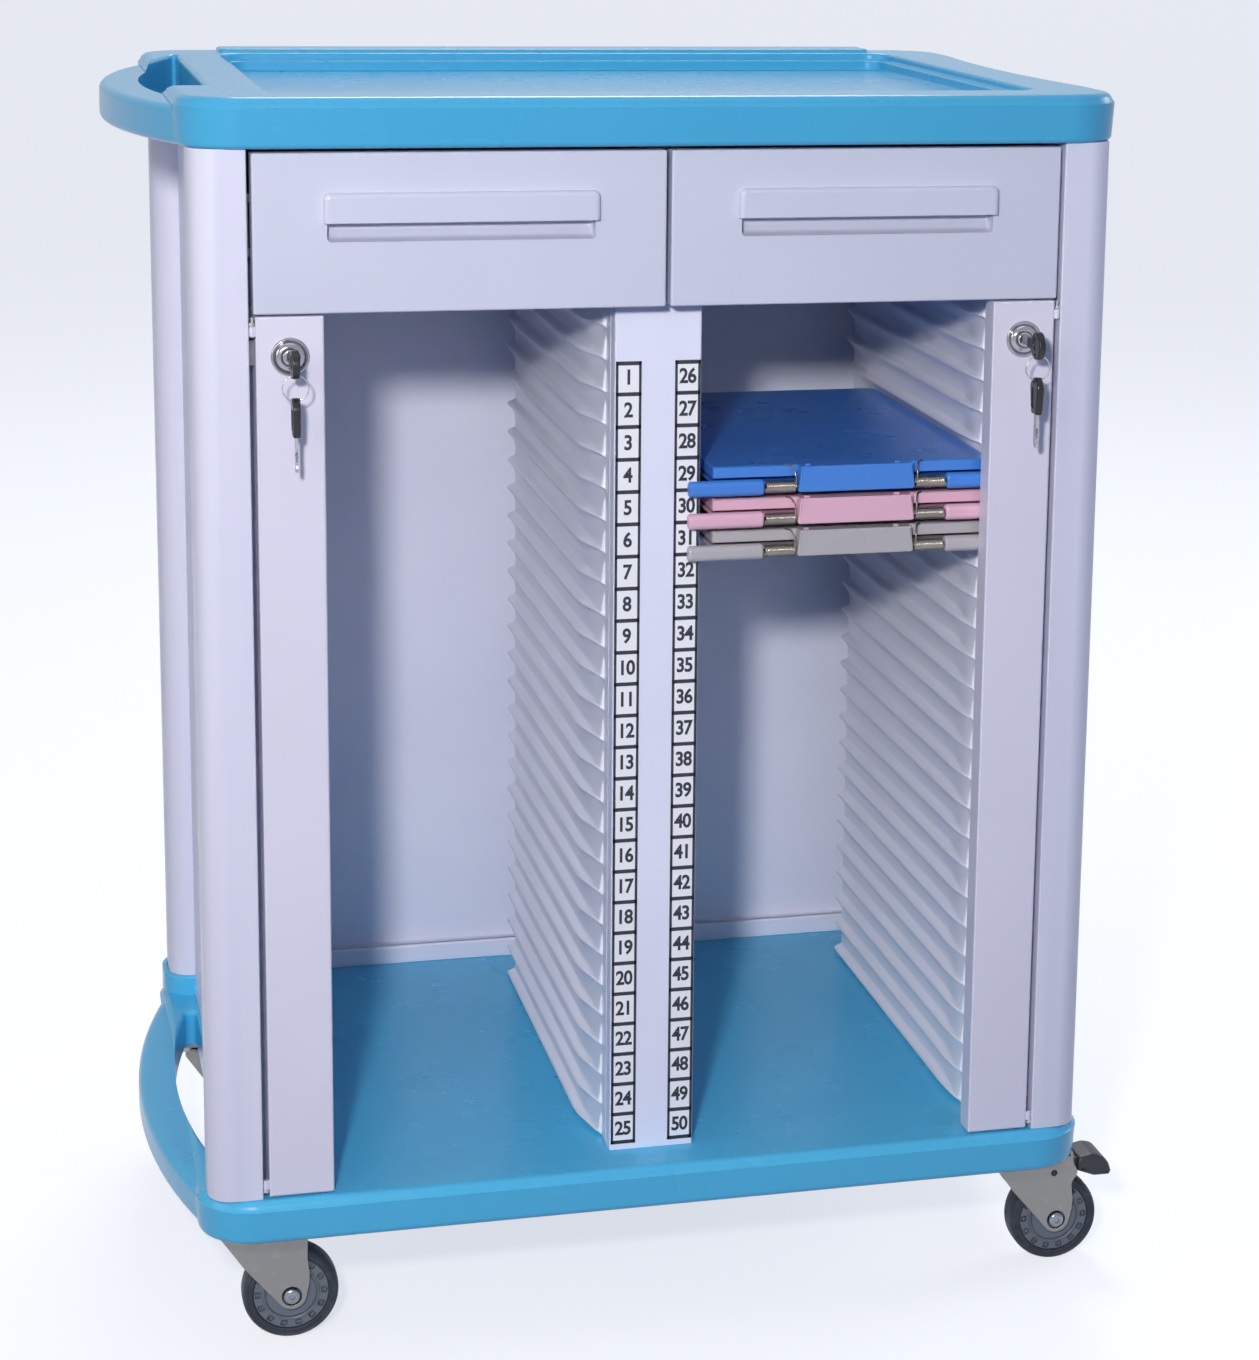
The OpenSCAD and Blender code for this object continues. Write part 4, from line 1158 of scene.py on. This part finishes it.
STEM_X = 0.315
STEMS_Y = {"front": FRONT_Y + 0.062, "rear": FRONT_Y + 0.438}
TRAIL, WHEEL_R, WHEEL_W = 0.033, 0.0375, 0.024
HUB_R = 0.029
LEG_IN, LEG_T = 0.014, 0.0025
CROWN_Z = 0.095
PEDAL_X, PEDAL_Z = 0.030, 0.079
BRAKED = (("front", "right"), ("rear", "left"))


def leg_outline(braked):
    """Side of a fork: sloped in front, round under the axle, with a step behind if it is braked."""
    top = CROWN_Z + 0.0002
    foot = arc(TRAIL, WHEEL_R + 0.0005, 0.0115, 218, 342, 12)
    rear = [(0.0466, 0.046), (0.0472, 0.055), (0.0455, 0.068)]
    rear += [(0.0466, 0.0705), (0.0515, 0.078), (0.0470, 0.0860)] if braked else []
    points = [(-0.021, top), (-0.021, 0.0885), (-0.0045, 0.0650)] + foot + rear + [(0.0462, top)]
    radii = [0, 0.004, 0.02] + [0] * len(foot) + [0.006] * len(rear) + [0]
    return fillet(points, radii, 4)


def make_fork(end, name, side):
    """Pressed fork: two legs that bend inwards in front, a crown, the race and the axle."""
    braked = (end, name) in BRAKED
    at = (side * STEM_X, STEMS_Y[end], 0)
    body, node = f"caster_{end}_{name}", f"fork_{end}_{name}"
    bm = bmesh.new()
    holes = [(circle(TRAIL, WHEEL_R, 0.0078, 32), 0.0004, None)]
    if braked:
        holes.append((circle(PEDAL_X, PEDAL_Z, 0.0026, 20), 0.0003, None))
    for face in (-1, 1):
        z = sorted((face * LEG_IN, face * (LEG_IN + LEG_T)))
        slab(bm, leg_outline(braked), z[0], z[1], 0.0006, 0.0006, holes)
    for x in (-0.018, -0.013, -0.008, -0.003, 0.001, 0.005, 0.009):
        bmesh.ops.bisect_plane(bm, geom=bm.verts[:] + bm.edges[:] + bm.faces[:], dist=1e-6,
                               plane_co=(x, 0, 0), plane_no=(1, 0, 0))
    bend_x, bend_w, bend_in = 0.009, 0.030, 0.0042
    for v in bm.verts:
        t = min(1, max(0, (bend_x - v.co.x) / bend_w))
        low = min(1, max(0, (CROWN_Z - v.co.z) / 0.02))
        v.co.z -= (1 if v.co.z > 0 else -1) * bend_in * (3 * t * t - 2 * t ** 3) * low
    legs = finished(bm, f"fork_legs_{end}_{name}", "zinc", UPRIGHT, at, 50)
    stands_for(legs, body, "caster_zinc", node)

    bm = bmesh.new()
    half = LEG_IN + LEG_T
    plate = rect(-0.0215, 0.047, -half, half)
    slab(bm, fillet(plate, [0.008, 0.003, 0.003, 0.008]), CROWN_Z - LEG_T, CROWN_Z + 0.0003, 0.001,
         0.0004, [(circle(0, 0, 0.0105, 32), 0.0003, None)])
    lathe(bm, [(0.0105, CROWN_Z - 0.0002), (0.022, CROWN_Z - 0.0002), (0.0242, CROWN_Z + 0.0005),
               (0.0249, CROWN_Z + 0.0014), (0.0244, CROWN_Z + 0.0026), (0.022, CROWN_Z + 0.003),
               (0.0105, CROWN_Z + 0.003)], 48)
    place(bm, f"fork_crown_{end}_{name}", "zinc", body, "caster_zinc", at=at)
    bm = bmesh.new()
    top = BASE_LOW - 0.0038
    lathe(bm, [(0.0075, CROWN_Z + 0.0031), (0.0205, CROWN_Z + 0.0031), (0.0218, CROWN_Z + 0.0040),
               (0.0220, CROWN_Z + 0.0056), (0.0212, top), (0.0075, top)], 48)
    place(bm, f"swivel_race_{end}_{name}", "race", body, "caster_zinc", at=at)

    bm = bmesh.new()
    head = [(0.0038, half - 0.0022), (0.0062, half - 0.0022), (0.0066, half - 0.0016),
            (0.0064, half + 0.0004), (0.0056, half + 0.0015), (0.0040, half + 0.0021),
            (0.0022, half + 0.0022), (0.0018, half + 0.0014), (0, half + 0.0013)]
    lathe(bm, [(0, -p[1]) if p[0] == 0 else (p[0], -p[1]) for p in reversed(head)] + head, 32)
    axle_at = (at[0] + TRAIL, at[1], WHEEL_R)
    place(bm, f"axle_{end}_{name}", "axle", body, "caster_zinc", axes=UPRIGHT, at=axle_at, sharp=50)


def wheel_template():
    """Hub mesh with its ring of pockets, made once and copied to every wheel."""
    half = WHEEL_W / 2 - 0.001
    web = half - 0.0014                       # the flat ring that holds the pockets
    face = [(0.0041, half - 0.0010), (0.0045, half - 0.0006), (0.0190, half - 0.0006),
            (0.0194, half - 0.0022), (0.0202, half - 0.0022), (0.0206, half - 0.0004),
            (0.0213, half), (0.0219, half - 0.0002), (0.0224, web), (HUB_R, web)]
    bm = bmesh.new()
    lathe(bm, face + [(r, -z) for r, z in reversed(face)], 96)
    hub = finished(bm, "hub", "hub", UPRIGHT)
    pockets, deep, r = 14, 0.0045, 0.0258
    bm = bmesh.new()
    for i in range(pockets):
        a = 2 * pi * i / pockets
        for z in ((half - 0.0014 - deep, half + 0.001), (-half - 0.001, deep + 0.0014 - half)):
            one = bmesh.new()
            slab(one, rounded(r - 0.0024, r + 0.0024, -0.0027, 0.0027, 0.0013, 3), z[0], z[1],
                 0.0004, 0.0004, steps=1)
            one.transform(Matrix.Rotation(a, 4, "Z"))
            mesh = bpy.data.meshes.new("pocket")
            one.to_mesh(mesh)
            one.free()
            bm.from_mesh(mesh)
            bpy.data.meshes.remove(mesh)
    # The pocket cutter carries the darker hub nylon, painted shade for the faces of the pockets.
    cutter = finished(bm, "pockets", "hub_painted_shade", UPRIGHT)
    return united(hub, [cutter], "DIFFERENCE", 32)


def make_wheel(end, name, side, hub):
    """Rubber tyre with a rounded tread and a shoulder ridge, on a nylon hub."""
    at = (side * STEM_X + TRAIL, STEMS_Y[end], WHEEL_R)
    body = f"wheel_{end}_{name}"
    face = [(HUB_R + 0.0001, 0.0104), (0.0300, 0.0112), (0.0312, 0.0114), (0.0330, 0.0110),
            (0.0338, 0.0113), (0.0345, 0.0117), (0.0352, 0.0114), (0.0363, 0.0101),
            (0.0370, 0.0082), (0.03735, 0.0062), (WHEEL_R, 0.0040), (WHEEL_R, 0)]
    bm = bmesh.new()
    lathe(bm, face + [(r, -z) for r, z in reversed(face[:-1])], 96)
    tyre = finished(bm, f"tyre_{end}_{name}_tread", "tyre_rubber", UPRIGHT, at, 50)
    stands_for(tyre, body, "tyre", f"tyre_{end}_{name}")
    copy = bpy.data.objects.new(f"hub_{end}_{name}_disc", hub.data.copy())
    copy.data.transform(Matrix.Translation(at))
    bpy.context.scene.collection.objects.link(copy)
    stands_for(copy, body, "wheel_hub", f"hub_{end}_{name}")


def make_pedal(end, name, side):
    """Brake pedal: a rounded wedge pad on an arm that turns on a pin through the fork."""
    at = (side * STEM_X, STEMS_Y[end], 0)
    bm = bmesh.new()
    arm = fillet([(0.024, 0.0795), (0.030, 0.0772), (0.040, 0.0785), (0.053, 0.0795),
                  (0.053, 0.0886), (0.026, 0.0888)], [0.003, 0.004, 0.004, 0.001, 0.001, 0.004])
    slab(bm, arm, -0.0125, 0.0125, 0.0016, 0.0016)
    pad = fillet([(0.0505, 0.0785), (0.0590, 0.0752), (0.0660, 0.0725), (0.0793, 0.0724),
                  (0.0808, 0.0758), (0.0785, 0.0828), (0.0725, 0.0902), (0.0640, 0.0922),
                  (0.0505, 0.0896)],
                 [0.001, 0.006, 0.004, 0.002, 0.003, 0.012, 0.010, 0.010, 0.004])
    slab(bm, pad, -0.016, 0.016, 0.0034, 0.0034, steps=6)
    for k in range(4):
        x, z = 0.0600 + 0.0042 * k, 0.0903 - 0.0009 * k * k
        part_box(bm, x - 0.0008, x + 0.0008, z - 0.002, z + 0.0006, -0.0115, 0.0115, 0.0006)
    for z in (-0.0167, 0.0141):
        lathe(bm, [(0, z), (0.00195, z), (0.00195, z + 0.0026), (0, z + 0.0026)], 20,
              (PEDAL_X, PEDAL_Z, 0))
    place(bm, f"brake_pad_{end}_{name}", "black", f"brake_{end}_{name}", "pedal_black",
          f"pedal_{end}_{name}", axes=UPRIGHT, at=at, sharp=40)


def make_caster_plates():
    """Top plates with the swivel rivets, and their screws."""
    plates, screws = bmesh.new(), bmesh.new()
    half, plate_t, screw_at = 0.031, 0.0035, 0.023
    spots = [(dx, dy) for dx in (-screw_at, screw_at) for dy in (-screw_at, screw_at)]
    under, rivet = BASE_LOW - plate_t, CROWN_Z - 0.007
    rivet_profile = [(0, rivet), (0.0085, rivet), (0.0098, rivet + 0.0012), (0.0095, rivet + 0.003),
                     (0.006, rivet + 0.004), (0.006, BASE_LOW - 0.0033), (0, BASE_LOW - 0.0033)]
    screw_profile = [(0, under - 0.0045), (0.0050, under - 0.0045), (0.0062, under - 0.0038),
                     (0.0065, under), (0.0040, under), (0.0040, under + 0.020),
                     (0.0030, under + 0.0215), (0, under + 0.022)]
    for side in SIDES.values():
        for y in STEMS_Y.values():
            at = Vector((side * STEM_X, y, 0))
            holes = [(circle(at.x + dx, at.y + dy, 0.0042, 20), 0.0003, None) for dx, dy in spots]
            plate = rounded(at.x - half, at.x + half, at.y - half, at.y + half, 0.005)
            slab(plates, plate, under, BASE_LOW, 0.0004, 0.0008, holes)
            lathe(plates, rivet_profile, 32, at)
            for dx, dy in spots:
                lathe(screws, screw_profile, 24, at + Vector((dx, dy, 0)))
    place(plates, "caster_top_plates", "zinc", "root", "caster_zinc", "caster_plates")
    place(screws, "caster_bolts", "steel", "root", "screw_steel", "caster_screws")


def make_casters():
    make_caster_plates()
    hub = wheel_template()
    for end in STEMS_Y:
        for name, side in SIDES.items():
            make_fork(end, name, side)
            make_wheel(end, name, side, hub)
            if (end, name) in BRAKED:
                make_pedal(end, name, side)
    bpy.data.objects.remove(hub)


make_worktop()
make_base()
make_columns()
make_walls()
make_post()
make_labels()
make_chart_walls()
make_drawers()
for name, side in SIDES.items():
    make_bar(name, side)
    make_lock(name, side)
    make_key(name, side)
    make_key_ring(name, side)
make_bar_hinges()
make_binders()
make_casters()

# ---- floor, lights and camera ----

STAGE_R = 60
WARM, COOL, AMBER = (1.0, 0.97, 0.95), (0.97, 0.98, 1.0), (1.0, 0.85, 0.6)
LIGHTS = (                              # name, place, target, size, watts, colour
    ("key", (-0.70, -2.26, 1.41), (0, 0.1, 0.5), 0.16, 37, WARM),
    ("overhead", (0, -0.3, 3.2), (0, 0, 0.8), 2.2, 9, WARM),
    ("front_fill", (-1.5, -2.3, 1.7), (0, 0.1, 0.4), 1.0, 8, WARM),
    ("back_fill", (0.6, 2.6, 3.4), (0, 0.2, 0.5), 1.6, 60, COOL),
    ("right_fill", (3.2, 1.0, 1.8), (0.3, 0, 0.5), 1.6, 26, COOL),
    ("left_fill", (-3.0, -0.6, 1.6), (0, 0, 0.6), 1.4, 14, AMBER),
)


def unlit_stage(obj, shade, diffuse):
    """A floor or backdrop with a glow of its own. It adds no diffuse light to the trolley, but it
    does show in reflections."""
    bsdf = obj.data.materials[0].node_tree.nodes["Principled BSDF"]
    bsdf.inputs["Base Color"].default_value = (diffuse, diffuse, diffuse, 1)
    bsdf.inputs["Emission Color"].default_value = shade
    bsdf.inputs["Emission Strength"].default_value = 1.0
    obj.visible_diffuse = False


def make_stage():
    """A pale floor that runs out to a pale backdrop."""
    bm = bmesh.new()
    bmesh.ops.create_circle(bm, cap_ends=True, segments=64, radius=STAGE_R)
    unlit_stage(finished(bm, "floor", "pale_floor"), linear(214, 216, 221), 0.35)
    bm = bmesh.new()
    bmesh.ops.create_uvsphere(bm, u_segments=64, v_segments=32, radius=STAGE_R)
    backdrop = finished(bm, "backdrop", "backdrop")
    backdrop.visible_shadow = False
    unlit_stage(backdrop, linear(216, 218, 224), 0.0)
    world = bpy.data.worlds.new("studio")
    world.use_nodes = True
    world.node_tree.nodes["Background"].inputs["Color"].default_value = (0.32, 0.5, 1.0, 1)
    world.node_tree.nodes["Background"].inputs["Strength"].default_value = 0.21
    bpy.context.scene.world = world


def disk_light(name, at, target, size, power, colour):
    """A round soft box at a point, turned to a target."""
    light = bpy.data.lights.new(name, "AREA")
    light.shape = "DISK"
    light.size = size
    light.energy = power
    light.color = colour
    obj = bpy.data.objects.new(name, light)
    obj.location = at
    obj.rotation_euler = (Vector(target) - Vector(at)).to_track_quat("-Z", "Y").to_euler()
    bpy.context.scene.collection.objects.link(obj)


def make_camera():
    """A long lens from the left of the front, a little above the worktop. Angles in radians."""
    at = (-0.4968, -2.4225, 1.1489)
    yaw, pitch, roll = 0.2586, -0.2004, 0.0174
    way = Vector((sin(yaw) * cos(pitch), cos(yaw) * cos(pitch), sin(pitch)))
    right = Vector((cos(yaw), -sin(yaw), 0))
    up = right.cross(way)
    turned_right = right * cos(roll) + up * sin(roll)
    turned_up = up * cos(roll) - right * sin(roll)
    data = bpy.data.cameras.new("camera")
    data.lens = 81.35
    data.sensor_width = 36
    data.shift_x, data.shift_y = -0.1063, -0.1523
    data.clip_end = 200
    camera = bpy.data.objects.new("camera", data)
    turn = Matrix((turned_right, turned_up, -way)).transposed().to_4x4()
    camera.matrix_world = Matrix.Translation(at) @ turn
    bpy.context.scene.collection.objects.link(camera)
    bpy.context.scene.camera = camera
    bpy.context.scene.view_settings.view_transform = "Standard"


make_stage()
for light in LIGHTS:
    disk_light(*light)
make_camera()
